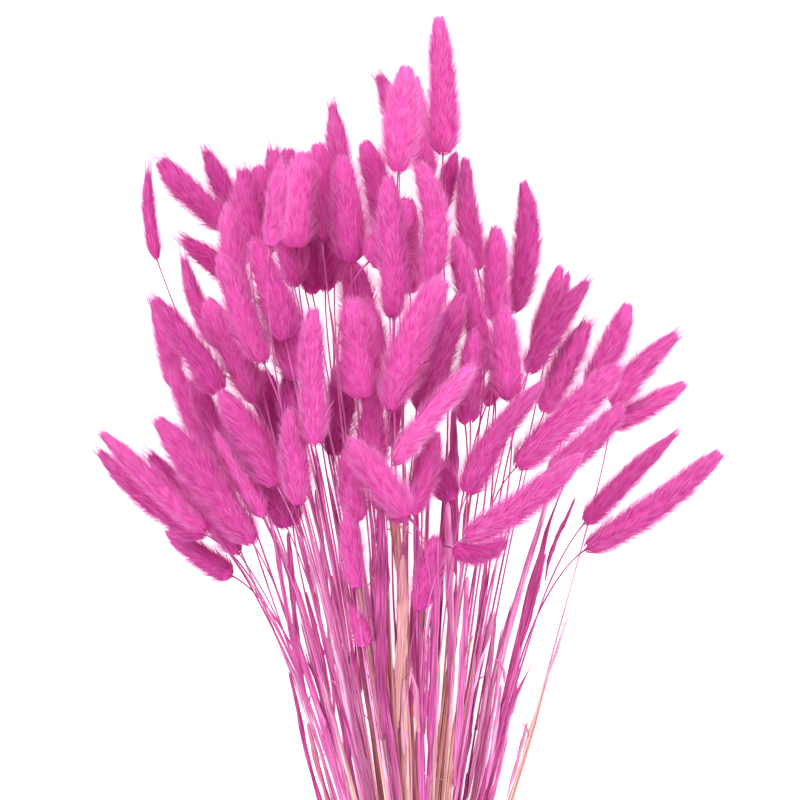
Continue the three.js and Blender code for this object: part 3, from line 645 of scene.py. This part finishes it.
class Growth:
    """All that grows from one foot: bent copies of the straight forms, which become one piece.

    The bend mirrors a form, so each triangle is turned round to face outwards again.
    """

    def __init__(self):
        self.points = []
        self.faces = []
        self.finish = []
        self.values = {"along": [], "shade": [], "tone": [], "straw": []}
        self.grain = []
        self.normals = []
        self.count = 0

    def add(self, points, faces, finish, grain=None, soft=None, **values):
        n = len(points)
        faces = faces[:, ::-1]
        self.normals.append(np.zeros((len(faces), 3, 3)) if soft is None else soften(points, faces, soft))
        self.points.append(points)
        self.faces.append(faces + self.count)
        self.finish.append(np.full(len(faces), finish))
        self.grain.append(np.zeros((n, 3)) if grain is None else grain)
        for name, parts in self.values.items():
            parts.append(np.broadcast_to(np.asarray(values.get(name, 0.0), float), (n,)))
        self.count += n

    def piece(self, name, materials):
        faces = np.concatenate(self.faces)
        mesh = bpy.data.meshes.new(name)
        mesh.vertices.add(self.count)
        mesh.vertices.foreach_set("co", ((np.concatenate(self.points) + SHIFT) * MM).ravel())
        mesh.loops.add(faces.size)
        mesh.loops.foreach_set("vertex_index", faces.ravel())
        mesh.polygons.add(len(faces))
        mesh.polygons.foreach_set("loop_start", np.arange(len(faces)) * 3)
        mesh.polygons.foreach_set("material_index", np.concatenate(self.finish))
        for key, parts in self.values.items():
            mesh.attributes.new(key, "FLOAT", "POINT").data.foreach_set("value", np.concatenate(parts))
        grain = mesh.attributes.new("grain", "FLOAT_VECTOR", "POINT")
        grain.data.foreach_set("vector", np.concatenate(self.grain).ravel())
        for material in materials:
            mesh.materials.append(material)
        mesh.update()
        mesh.validate()
        mesh.shade_smooth()
        mesh.normals_split_custom_set(np.concatenate(self.normals).reshape(-1, 3))
        obj = bpy.data.objects.new(name, mesh)
        bpy.context.scene.collection.objects.link(obj)
        return obj


def follow(line, place):
    """Points of a line at the given places, and its directions there."""
    step = 0.004
    return line(place), unit(line(place + step) - line(place - step))


def profile(points, place):
    """Value on a line of (place, value) points."""
    return np.interp(place, *zip(*points))


# Heads
def fur_radius(strand, t, angle):
    """How far the fur reaches from the middle line: fullest at this head's own place, and a little lumpy."""
    place = np.where(t > 0, np.abs(t) ** strand.belly, t)
    place = np.where(place > POINT_START, POINT_START + (place - POINT_START) * strand.point, place)
    lumps = LUMPS * np.sin(t * 8 + strand.number * 1.7)
    lumps = lumps + LUMPS * np.sin(angle + strand.number) * np.sin(t * 5)
    slim = 1 + strand.taper * (0.45 - np.clip(t, 0, 1)) * 2
    return strand.girth / 2 * strand.fullness * profile(HEAD_PROFILE, place) * slim * (1 + lumps)


def grow_head_body(growth, strand, form):
    """The dense body under the hairs. The ball's two poles stay on the middle line."""
    x, y, z = form.points.T
    t = (z + 1) / 2
    angle = np.arctan2(y, x)
    centre, direction = follow(strand.head_point, t)
    off_pole = np.minimum(1, np.hypot(x, y) * 1e6)
    radius = BODY_SHARE * fur_radius(strand, t, angle) * off_pole
    out = around(direction, angle)
    # The body takes the fur's colour a quarter of the way from root to tip, the painted shade deep in the
    # fur
    growth.add(centre + out * radius[:, None], form.faces, FUR, along=0.25, shade=0.5, tone=strand.tone)


def place_tufts(strand, random):
    """Tufts in a spiral: their places, angles, turns, stands, shades and reaches."""
    tufts = max(LEAST_TUFTS, int(strand.length * TUFTS_PER_LENGTH))
    index = np.arange(tufts)
    t = (index + 0.5) / tufts - 0.015
    angle = index * GOLDEN_ANGLE + random.normal(0, 0.3, tufts)
    turn = strand.sweep + random.normal(0, 0.16, tufts)
    loose = random.random(tufts) < LOOSE_SHARE
    stand = random.normal(0, 0.05, tufts) + np.where(loose, random.uniform(0.04, 0.22, tufts), 0)
    shade = random.normal(0, 0.13, tufts)
    reach = random.normal(1, 0.12, tufts)
    return np.stack([t, angle, turn, stand, shade, reach])


def grow_hairs(growth, strand, form):
    """Every hair grows from a tuft and lies back towards the tip of the head."""
    random = random_of(strand.number, 1)
    length = strand.length
    count = int(HAIRS_PER_AREA * length * strand.girth / 2 * (1))
    tufts = place_tufts(strand, random)
    tuft = random.integers(0, tufts.shape[1], count)
    tuft_t, tuft_angle, tuft_turn, tuft_stand, tuft_shade, tuft_reach = tufts[:, tuft]
    wisp = np.arange(count) < (WISPS_IF_WISPY if strand.number in WISPY_HEADS else WISPS)

    root_t = np.clip(tuft_t + random.normal(0, 1.0, count) / length, -0.02, 0.985)
    root_t = np.where(wisp, WISP_START + WISP_SPAN * np.sqrt(np.clip(root_t, 0, 1)), root_t)
    root_angle = tuft_angle + random.normal(0, 0.20, count)
    root_radius = fur_radius(strand, root_t, root_angle) * (BODY_SHARE - ROOT_DEPTH)
    centre, direction = follow(strand.head_point, root_t)
    out = around(direction, root_angle)
    root = centre + out * root_radius[:, None]

    reach = HAIR_LENGTH * tuft_reach * random.uniform(0.8, 1.15, count)
    reach = reach * (HAIR_ON_SHORT_HEAD + HAIR_GAINS * min(1, length / LONG_HEAD))
    reach = reach * np.where(wisp, random.uniform(*WISP_LENGTHS, count), 1)
    tip_t = root_t + reach / length
    over = (tip_t > 1) & ~wisp
    tip_t = np.where(over, 1 + (tip_t - 1) * random.uniform(0, 0.5, count), tip_t)
    fuzz = FUZZY_HEADS.get(strand.number, 0)
    stand = HAIR_STAND + tuft_stand + random.normal(0, 0.04 + fuzz, count) + fuzz
    stand = stand + np.where(wisp, random.uniform(*WISP_STANDS, count), 0)
    tip_angle = root_angle + tuft_turn - (root_angle - tuft_angle) * TUFT_GATHERS
    tip_angle = tip_angle + random.normal(0, 0.05, count)
    tip_radius = fur_radius(strand, np.where(wisp, np.minimum(tip_t, 1), tip_t), tip_angle) * stand
    closer = np.sqrt(random.uniform(0.02, 1, count))
    tip_radius = np.where(tip_t > TIP_CLOSES, tip_radius * closer, tip_radius)
    centre, tip_direction = follow(strand.head_point, tip_t)
    tip = centre + around(tip_direction, tip_angle) * np.abs(tip_radius)[:, None]

    root[:, 2] = np.maximum(root[:, 2], ABOVE_FLOOR)
    tip[:, 2] = np.maximum(tip[:, 2], ABOVE_FLOOR)
    sideways = np.cross(direction, out)
    width = HAIR_WIDTH * random.uniform(0.75, 1.2, count) * np.where(wisp, WISP_WIDTH, 1)
    shade = 0.5 + tuft_shade + random.normal(0, 0.17, count) - np.where(wisp, WISP_SHADE, 0)
    soft = unit(out + random.normal(0, HAIR_UNEVEN, (count, 3)))
    x, y, z = form.points.T
    points = (
        root[:, None]
        + sideways[:, None] * (x[None, :] * width[:, None])[..., None]
        + out[:, None] * (y[None, :] * width[:, None] * HAIR_RIDGE)[..., None]
        + (tip - root)[:, None] * z[None, :, None]
    )
    corners = len(form.points)
    faces = form.faces[None] + np.arange(count)[:, None, None] * corners
    # Each hair's colour runs along it from the painted shade at the root to the painted light at the tip
    growth.add(
        points.reshape(-1, 3), faces.reshape(-1, 3), FUR, soft=np.repeat(soft, corners, axis=0),
        along=np.tile(z, count), shade=np.repeat(shade, corners), tone=strand.tone,
    )


# Stems
def lay_grain(across, along, own):
    """Where the streaks of a finish lie: across and along the straw, and at a place of its own."""
    return np.stack([across, along, np.full_like(along, own)], axis=-1)


def bareness(u, at_tie, fades):
    """How much of the straw the dye missed, less and less from the tie up to the head."""
    return np.clip(at_tie - u * fades, 0, 1)


def grow_straw(growth, strand, form):
    """The culm from its cut end, through the tie, to the wiry neck below the head."""
    x, y, z = form.points.T
    u = np.interp(z, [0, 0.1, 1], [-1, 0, 1])
    centre, direction = follow(strand.stem_point, u)
    uneven = 1 + STRAW_UNEVEN * np.sin(u * 31 + strand.number)
    joint = np.where(np.abs(z * STRAW_STEPS - strand.joint) < 0.5, JOINT_GIRTH, 1)
    radius = profile(STRAW_PROFILE, u) * uneven * joint * strand.stoutness
    angle = np.arctan2(y, x)
    grain = lay_grain(angle * STRAW_RADIUS, u * strand.stem_length, strand.number * 9.7)
    # Towards the head the neck is painted darker and deeper: painted shade from the heads above it, and
    # partly its own deeper colour
    growth.add(
        centre + around(direction, angle) * radius[:, None], form.faces, STEM, grain,
        shade=strand.shade - NECK_PAINTED_SHADE * np.clip(u - NECK_PAINTED_SHADE_START, 0, 1),
        tone=strand.paleness * STEM_TONE - NECK_DYE_AND_SHADE * np.clip(u - NECK_DYE_AND_SHADE_START, 0, 1),
        straw=strand.straw * bareness(u, *BARE_STEM),
    )


def grow_sheath(growth, strand, form, reach, width, opening, seed):
    """A dried leaf sheath: a papery strip rolled round the stem, open along one side."""
    random = random_of(strand.number, 2, seed)
    x, y, z = form.points.T
    torn = np.interp(x, np.linspace(-0.5, 0.5, 5), random.uniform(-0.16, 0.03, 5))
    u = reach * (y + torn * np.clip(y * 4 - 3, 0, 1))
    centre, direction = follow(strand.stem_point, u)
    waves = random.uniform(0, 6.3, 4)
    rolled = ROLLED + (opening - ROLLED) * profile(SHEATH_OPENING, y) + 0.15 * np.sin(y * 9 + waves[0])
    broad = ROLLED_WIDTH + (width - ROLLED_WIDTH) * np.clip(y * 2.0, 0, 1)
    broad = broad * profile(SHEATH_OUTLINE, y)
    edge = 1 + 0.18 * np.sin(y * 13 + waves[1] + 5 * x) + 0.14 * np.sin(y * 31 + waves[2] - 3 * x)
    turn = random.uniform(0, 6.3) + random.uniform(-1.6, 1.6) * y
    angle = turn + x * broad * edge / rolled
    stand_off = rolled + z * SHEATH_WALL + random.uniform(0, 2.2) * np.clip(y * 7 - 6, 0, 1) ** 2
    grain = lay_grain(x * broad, u * strand.stem_length, strand.number * 9.7 + seed * 3.1)
    growth.add(
        centre + around(direction, angle) * stand_off[:, None], form.faces, SHEATH, grain,
        shade=strand.shade + random.normal(0, 0.1),
        tone=strand.paleness + random.normal(0, 0.15),
        straw=np.clip(strand.straw + random.normal(0, 0.15), 0, 1) * bareness(u, *BARE_SHEATH),
    )


def lay_strip(form, line, broad, arch, turn, facing):
    """A dry strip along a line. It is broad one way, and its wall and its arch rise the other way."""
    x, y, z = form.points.T
    centre, direction = follow(line, y)
    rise = z * SHEATH_WALL + (0.25 - x * x) * broad * arch
    points = centre + around(direction, turn) * (x * broad)[:, None]
    return points + around(direction, facing) * rise[:, None]


def grow_scrap(growth, strand, form, seed):
    """A short scrap of torn sheath that curls away from the stem."""
    random = random_of(strand.number, 5, seed)
    start, forward = follow(strand.stem_point, random.uniform(0.12, 0.55))
    facing = random.uniform(0.2, 2.9)
    out = around(forward, facing)
    reach = random.uniform(4, 11)
    curl = random.uniform(0.25, 1.1) * random.choice([-1, 1], p=[0.25, 0.75])

    def middle_line(v):
        v = v[..., None]
        ahead = forward * reach * v * (1 - 0.3 * abs(curl) * v) * np.sign(curl)
        return start + ahead + out * (0.8 + reach * abs(curl) * v * v)

    x, y, z = form.points.T
    broad = random.uniform(0.9, 1.9) * (1 - 0.75 * y ** 2) * (1 + 0.15 * np.sin(y * 19 + x * 6))
    turn = facing + random.uniform(-2, 2) * y
    points = lay_strip(form, middle_line, broad, 1, turn - math.pi / 2, turn)
    points[:, 2] = np.maximum(points[:, 2], SCRAP_ABOVE_FLOOR)
    growth.add(
        points, form.faces, SHEATH, lay_grain(x * broad, y * reach, strand.number * 5.3 + seed),
        shade=strand.shade + random.normal(0.05, 0.1), tone=random.uniform(0.2, 1),
        straw=strand.straw * random.uniform(0.4, 1.2),
    )


def grow_leaf(growth, strand, form):
    """A dried leaf: a narrow blade that stands off the stem, twists and ends in a point."""
    random = random_of(strand.number, 3)
    away = math.radians(LEAF_SIDE if strand.is_right else 180 - LEAF_SIDE)
    start, forward = follow(strand.stem_point, LEAF_PLACE + LEAF_ROOT / strand.stem_length)
    up = around(forward, away)
    aside = around(forward, away - math.pi / 2)

    def middle_line(v):
        v = v[..., None]
        lift = LEAF_LENGTH * LEAF_LIFT * (0.4 * v + 0.6 * v * v)
        wave = LEAF_WAVE * np.sin(v * 7 + strand.number)
        return start + up * (0.4 + lift) + forward * LEAF_LENGTH * v + aside * wave * v

    x, y, z = form.points.T
    twist = random.uniform(1.2, 3.2) * random.choice([-1, 1]) * y ** 1.3
    broad = LEAF_WIDTH * (HALF_BARE_LEAF if strand.number == HALF_BARE else 1)
    broad = broad * profile(LEAF_OUTLINE, y) * (1 + 0.08 * np.sin(y * 23 + x * 5))
    points = lay_strip(form, middle_line, broad, LEAF_ARCH, away + math.pi / 2 + twist, away + twist)
    growth.add(
        points, form.faces, SHEATH, lay_grain(x * broad, y * LEAF_LENGTH, strand.number * 5.3),
        shade=strand.shade - 0.1, tone=strand.paleness,
        straw=0 if strand.number == HALF_BARE else strand.straw,
    )


def grow_blade(growth, strand, form, points, width, tone, straw):
    """A dried blade beside its stem, along a smooth line through the given points."""
    stem = strand.stem_point(np.linspace(0, 1, STEM_SAMPLES))
    place = np.linspace(0, 1, len(points))
    points = np.array(points, float)
    heights = np.interp(points[:, 1], stem[:, 1], stem[:, 2]) + BLADE_LIFT
    line = np.column_stack([points[:, 0] - GATHER_X, points[:, 1], heights])
    curves = [np.polyfit(place, line[:, axis], len(points) - 1) for axis in range(3)]

    def middle_line(v):
        return np.stack([np.polyval(curve, v) for curve in curves], axis=-1)

    x, y, z = form.points.T
    broad = width * profile(BLADE_OUTLINE, y) * (1 + 0.15 * np.sin(y * 17 + x * 5) + 0.1 * np.sin(y * 41))
    turn = 0.5 * np.sin(y * 4 + strand.number)
    points = lay_strip(form, middle_line, broad, BLADE_ARCH, turn, turn + math.pi / 2)
    length = float(np.linalg.norm(line[-1] - line[0]))
    grain = lay_grain(x * broad, y * length, strand.number * 3.7)
    growth.add(points, form.faces, SHEATH, grain, shade=BLADE_SHADE, tone=tone, straw=straw)


# Tie
def wind(growth, form, line, length, seed):
    """Two plies of twine, twisted round each other along a line."""
    x, y, z = form.points.T
    angle = np.arctan2(y, x)
    for ply in range(2):
        centre, direction = follow(line, z)
        twist = 2 * math.pi * z * length / PLY_TWIST + math.pi * ply
        middle = centre + around(direction, twist, ALONG_BUNCH) * PLY_OFFSET
        slim = PLY_RADIUS * (1 + PLY_UNEVEN * np.sin(z * length * 1.7 + ply * 2 + seed))
        points = middle + around(direction, angle + twist, ALONG_BUNCH) * slim[:, None]
        points[:, 2] = np.maximum(points[:, 2], 0)
        grain = lay_grain(angle * PLY_RADIUS, z * length, seed + ply * 7.0)
        growth.add(points, form.faces, TWINE, grain)


def make_tie(material):
    """Four turns of jute twine round the stems, a knot on top, and its two loose ends."""
    growth = Growth()
    inside = tie_radius()
    centre = inside + TIE_WALL - TIE_FLAT
    pitch = TIE_WIDTH / TIE_TURNS
    lay = inside + TIE_WALL / 2

    def turns(v):
        angle = 2 * math.pi * TIE_TURNS * v
        y = -TIE_WIDTH / 2 + pitch / 2 + (TIE_WIDTH - pitch) * v
        return np.stack([lay * np.sin(angle), y, centre + lay * np.cos(angle)], axis=-1)

    def knot(v):
        a = 2 * math.pi * v
        x = 0.4 + KNOT_SIZE * 0.30 * (np.sin(a) + 2 * np.sin(2 * a))
        y = 0.3 + KNOT_SIZE * 0.24 * (np.cos(a) - 2 * np.cos(2 * a))
        height = centre + inside + TIE_WALL + KNOT_SIZE * (0.25 - 0.30 * np.sin(3 * a))
        return np.stack([x, y, height], axis=-1)

    def tail(to_side, drift):
        def line(v):
            angle = math.radians(TAIL_REACH) * v * to_side
            radius = inside + TIE_WALL + PLY_RADIUS * 1.5
            return np.stack([radius * np.sin(angle), drift * v, centre + radius * np.cos(angle)], axis=-1)
        return line

    wind(growth, model_straw(PLY_SIDES, TURN_STEPS), turns, 2 * math.pi * lay * TIE_TURNS, 1)
    wind(growth, model_straw(PLY_SIDES, KNOT_STEPS), knot, KNOT_LENGTH, 2)
    for seed, (to_side, drift) in enumerate(TAILS, 3):
        wind(growth, model_straw(PLY_SIDES, TAIL_STEPS), tail(to_side, drift), TAIL_LENGTH, seed)
    return growth.piece("twine_turns", [material])


# Finishes
class Number:
    """A socket that carries a number: an expression on it adds Math nodes."""

    def __init__(self, finish, socket):
        self.finish = finish
        self.socket = socket

    def maths(self, operation, first, second):
        node = self.finish.node("ShaderNodeMath", {"operation": operation}, {0: first, 1: second})
        return Number(self.finish, node.outputs[0])

    def __add__(self, other):
        return self.maths("ADD", self, other)

    def __radd__(self, other):
        return self.maths("ADD", other, self)

    def __sub__(self, other):
        return self.maths("SUBTRACT", self, other)

    def __rsub__(self, other):
        return self.maths("SUBTRACT", other, self)

    def __mul__(self, other):
        return self.maths("MULTIPLY", self, other)

    def __rmul__(self, other):
        return self.maths("MULTIPLY", other, self)

    def within(self, low, high):
        return self.maths("MAXIMUM", self.maths("MINIMUM", self, high), low)


class Finish:
    """A material, with its constants on the shader's own sockets."""

    def __init__(self, name, **constants):
        self.material = bpy.data.materials.new(name)
        self.material.use_nodes = True
        self.tree = self.material.node_tree
        self.shader = self.tree.nodes["Principled BSDF"]
        self.paint(**constants)

    def node(self, kind, settings, inputs):
        """Adds a node: first its settings, then what its sockets are fed."""
        node = self.tree.nodes.new(kind)
        for key, value in settings.items():
            if key == "stops":
                self.set_stops(node.color_ramp, value)
            else:
                setattr(node, key, value)
        for key, value in inputs.items():
            self.feed(node.inputs[key], value)
        return node

    def set_stops(self, ramp, stops):
        while len(ramp.elements) < len(stops):
            ramp.elements.new(0.5)
        for element, (place, colour) in zip(ramp.elements, stops):
            element.position = place
            element.color = (*colour, 1)

    def feed(self, socket, value):
        if isinstance(value, Number):
            self.tree.links.new(value.socket, socket)
        elif isinstance(value, bpy.types.NodeSocket):
            self.tree.links.new(value, socket)
        else:
            socket.default_value = value

    def value(self, name):
        return Number(self, self.node("ShaderNodeAttribute", {"attribute_name": name}, {}).outputs["Fac"])

    def noise(self, **inputs):
        return Number(self, self.node("ShaderNodeTexNoise", {}, inputs).outputs["Fac"])

    def grain(self, across, lengthways):
        """Noise in streaks that follow the straw. The two numbers are its scales per millimetre."""
        place = self.node("ShaderNodeAttribute", {"attribute_name": "grain"}, {}).outputs["Vector"]
        inputs = {"Vector": place, "Scale": (across, lengthways, 1.0)}
        place = self.node("ShaderNodeMapping", {}, inputs).outputs[0]
        return self.noise(Vector=place, Scale=1.0, Detail=3.0)

    def colour(self, place, stops):
        return self.node("ShaderNodeValToRGB", {"stops": stops}, {"Fac": place}).outputs[0]

    def mix(self, share, first, second):
        """A mix of two colours. The sockets go by number, because their names are shared."""
        settings = {"data_type": "RGBA"}
        return self.node("ShaderNodeMix", settings, {0: share, 6: first, 7: second}).outputs[2]

    def lit(self, colour, light):
        """A colour made lighter or darker."""
        return self.node("ShaderNodeHueSaturation", {}, {"Color": colour, "Value": light}).outputs[0]

    def bump(self, height, strength, distance):
        inputs = {"Height": height, "Strength": strength, "Distance": distance}
        return self.node("ShaderNodeBump", {}, inputs).outputs[0]

    def paint(self, **sockets):
        for key, value in sockets.items():
            self.feed(self.shader.inputs[key.replace("_", " ")], value)
        return self.material


def fur_dye_and_painted_light():
    """Soft dyed hairs: deep magenta at the root as painted shade, pale pink at the tip as painted light."""
    finish = Finish(
        "fur_dye_and_painted_light", Roughness=0.8, Specular_IOR_Level=0.25,
        Sheen_Weight=0.25, Sheen_Roughness=0.4, Sheen_Tint=(1, 0.45, 0.8, 1),
    )
    tone = finish.value("tone")
    pink = finish.colour((finish.value("along") * 0.95 + tone * 0.4 - 0.2).within(0, 1), FUR_SHADE_TO_LIGHT_PINKS)
    light = 0.64 + finish.value("shade") * 0.42 + tone * 0.3
    return finish.paint(Base_Color=finish.lit(pink, light.within(0.3, 1.3)))


def dyed_straw(name, roughness, streaks, relief):
    """Dry straw in uneven pink, with streaks along it and bare straw where the dye missed."""
    finish = Finish(name, Roughness=roughness, Specular_IOR_Level=0.35)
    broad = finish.grain(0.5, 0.012)
    fine = ((finish.grain(streaks, 0.05) - 0.5) * 1.7 + 0.5).within(0, 1)
    tone = finish.value("tone")
    pink = finish.colour((fine * 0.9 + broad * 0.4 + tone * 0.65 - 0.42).within(0, 1), STRAW_PINKS)
    bare = finish.colour((fine * 0.8 + tone * 0.6 - 0.2).within(0, 1), BARE_STRAWS)
    missed = ((finish.value("straw") * 2.2 + broad * 1.2 - 1.2) * 3.0).within(0, 1)
    light = 0.79 + finish.value("shade") * 0.5 + (fine - 0.5) * 0.6
    return finish.paint(
        Base_Color=finish.lit(finish.mix(missed, pink, bare), light.within(0.4, 1.25)),
        Normal=finish.bump(fine, 0.6, relief * MM),
    )


def jute():
    finish = Finish("jute", Roughness=0.95, Specular_IOR_Level=0.2)
    strands = finish.grain(4.0, 0.35)
    return finish.paint(
        Base_Color=finish.colour(strands, JUTE_BROWNS),
        Normal=finish.bump(strands, 0.8, 0.25 * MM),
    )


def pale_floor():
    finish = Finish("pale_floor", Roughness=0.9, Specular_IOR_Level=0.1, Emission_Strength=FLOOR_GLOW)
    white = finish.colour(finish.noise(Scale=40.0), FLOOR_WHITES)
    return finish.paint(Base_Color=white, Emission_Color=white)


# The bunch
def set_looks(strand, random):
    """How a strand is dyed, with painted light and shade on its head by layer, how stout its stem is, and
    where on it the joint is.
    """
    # A head's tone: dye at random, painted light in the front layers and painted shade in the back ones, and
    # the listed heads' own dye with painted light and shade
    strand.tone = HEAD_TONE + (strand.layer - MIDDLE_LAYER) * PAINTED_LIGHT_PER_LAYER + random.normal(0, 0.05)
    strand.tone += HEAD_TONES_AND_PAINTED_LIGHT.get(strand.number, 0)
    strand.shade = 0.5 + random.normal(0, 0.14)
    strand.paleness = random.uniform(0.05, 0.95)
    strand.stoutness = random.uniform(0.85, 1.15)
    strand.joint = random.integers(7, 13)
    low_x = strand.stem_point(STRAW_PLACE)[0]
    strand.paleness += PALER if low_x < PALER_SIDE else 0
    strand.straw = math.exp(-(low_x / STRAW_SPREAD) ** 2) * random.uniform(0, 1.1)
    strand.straw += random.uniform(0, 0.2)
    if strand.number == HALF_BARE:
        strand.straw, strand.paleness, strand.shade = HALF_BARE_LOOKS


def sheaths_of(strand, random):
    """The sheaths on a stem: how far up each reaches, its width, how far it opens, and its seed."""
    def drawn(kind, seed):
        reach, width, opening = kind
        return random.uniform(*reach), width, opening, seed

    sheaths = [(*HALF_BARE_SHEATH, 1)] if strand.number == HALF_BARE else []
    if strand.number in BROAD_SHEATHS:
        reach = BROAD_SHEATHS[strand.number]
        share, width, opening = UNDER_BROAD
        sheaths.append((reach, *(RIBBON if strand.number in FLAT_RIBBONS else BROAD), 1))
        sheaths.append((reach * share, width, opening, 2))
    elif strand.number in WIRY_STEMS:
        sheaths.append((*WIRY_SHEATH, 1))
    elif strand.number % PAIR_EVERY == 0:
        sheaths.append(drawn(OUTER_SHEATH, 1))
        sheaths.append(drawn(INNER_SHEATH, 2))
    elif random.random() < LONE_SHARE:
        sheaths.append(drawn(LONE_SHEATH, 1))
    return sheaths


def grow_strand(growth, strand, forms):
    """All that belongs to one strand, from its head down to its foot."""
    random = random_of(strand.number, 4)
    strand.shape_stem()
    set_looks(strand, random)
    grow_head_body(growth, strand, forms["head_body"])
    grow_hairs(growth, strand, forms["hair"])
    grow_straw(growth, strand, forms["straw"])
    for sheath in sheaths_of(strand, random):
        grow_sheath(growth, strand, forms["blade"], *sheath)
    for seed in range(random.integers(0, SCRAPS_AT_MOST + 1)):
        grow_scrap(growth, strand, forms["scrap"], seed)
    if strand.has_leaf:
        grow_leaf(growth, strand, forms["blade"])
    for number, *blade in BLADES:
        if number == strand.number:
            grow_blade(growth, strand, forms["blade"], *blade)


def finish_piece(piece, node):
    """Ties a piece to the frame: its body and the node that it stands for."""
    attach(piece, "root")
    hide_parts(node)


def make_bunch():
    forms = {
        "hair": model_hair(),
        "head_body": model_head_body(),
        "straw": model_straw(STRAW_SIDES, STRAW_STEPS),
        "blade": model_blade(BLADE_ACROSS, BLADE_STEPS),
        "scrap": model_blade(SCRAP_ACROSS, SCRAP_STEPS),
    }
    materials = [
        fur_dye_and_painted_light(),
        dyed_straw("dyed_stem", 0.55, 3.0, 0.10),
        dyed_straw("dried_sheath", 0.6, 2.2, 0.18),
    ]
    for level, row in enumerate(gather_strands()):
        for first in range(0, len(row), 2):
            tuft = first // 2 + 1
            node = f"row_{level + 1}_tuft_{tuft}"
            growth = Growth()
            for strand in row[first:first + 2]:
                find_height(strand, node)
                grow_strand(growth, strand, forms)
            piece = growth.piece(f"strands_{level + 1}_{tuft}", materials)
            finish_piece(piece, node)
    finish_piece(make_tie(jute()), "twine_tie")


# Floor, light and camera
def set_stage():
    deselect_all()
    bpy.ops.mesh.primitive_plane_add(size=FLOOR_SIDE, location=(0, 0, FLOOR_TOP))
    bpy.ops.object.transform_apply(location=True)
    floor = bpy.context.object
    floor.name = "floor"
    floor.data.materials.append(pale_floor())

    world = bpy.data.worlds.new("studio")
    bpy.context.scene.world = world
    world.use_nodes = True
    sky = world.node_tree.nodes["Background"]
    sky.inputs["Color"].default_value = (1, 1, 1, 1)
    sky.inputs["Strength"].default_value = SKY_LIGHT

    bpy.ops.object.light_add(type="SUN", rotation=SUN_TILT)
    bpy.context.object.data.energy = SUN_LIGHT
    bpy.context.object.data.angle = SUN_WIDTH
    bpy.context.scene.view_settings.view_transform = "Standard"


def set_camera():
    middle = (np.array([PHOTO_MIDDLE[0] - GATHER_X, PHOTO_MIDDLE[1], CAMERA_HEIGHT]) + SHIFT) * MM
    bpy.ops.object.camera_add(location=middle, rotation=(0, 0, 0))
    camera = bpy.context.object
    camera.data.lens = camera.data.sensor_width * (CAMERA_HEIGHT - PHOTO_HEIGHT) / PHOTO_SIDE
    camera.data.clip_end = CAMERA_SEES
    bpy.context.scene.camera = camera


make_bunch()
set_stage()
set_camera()
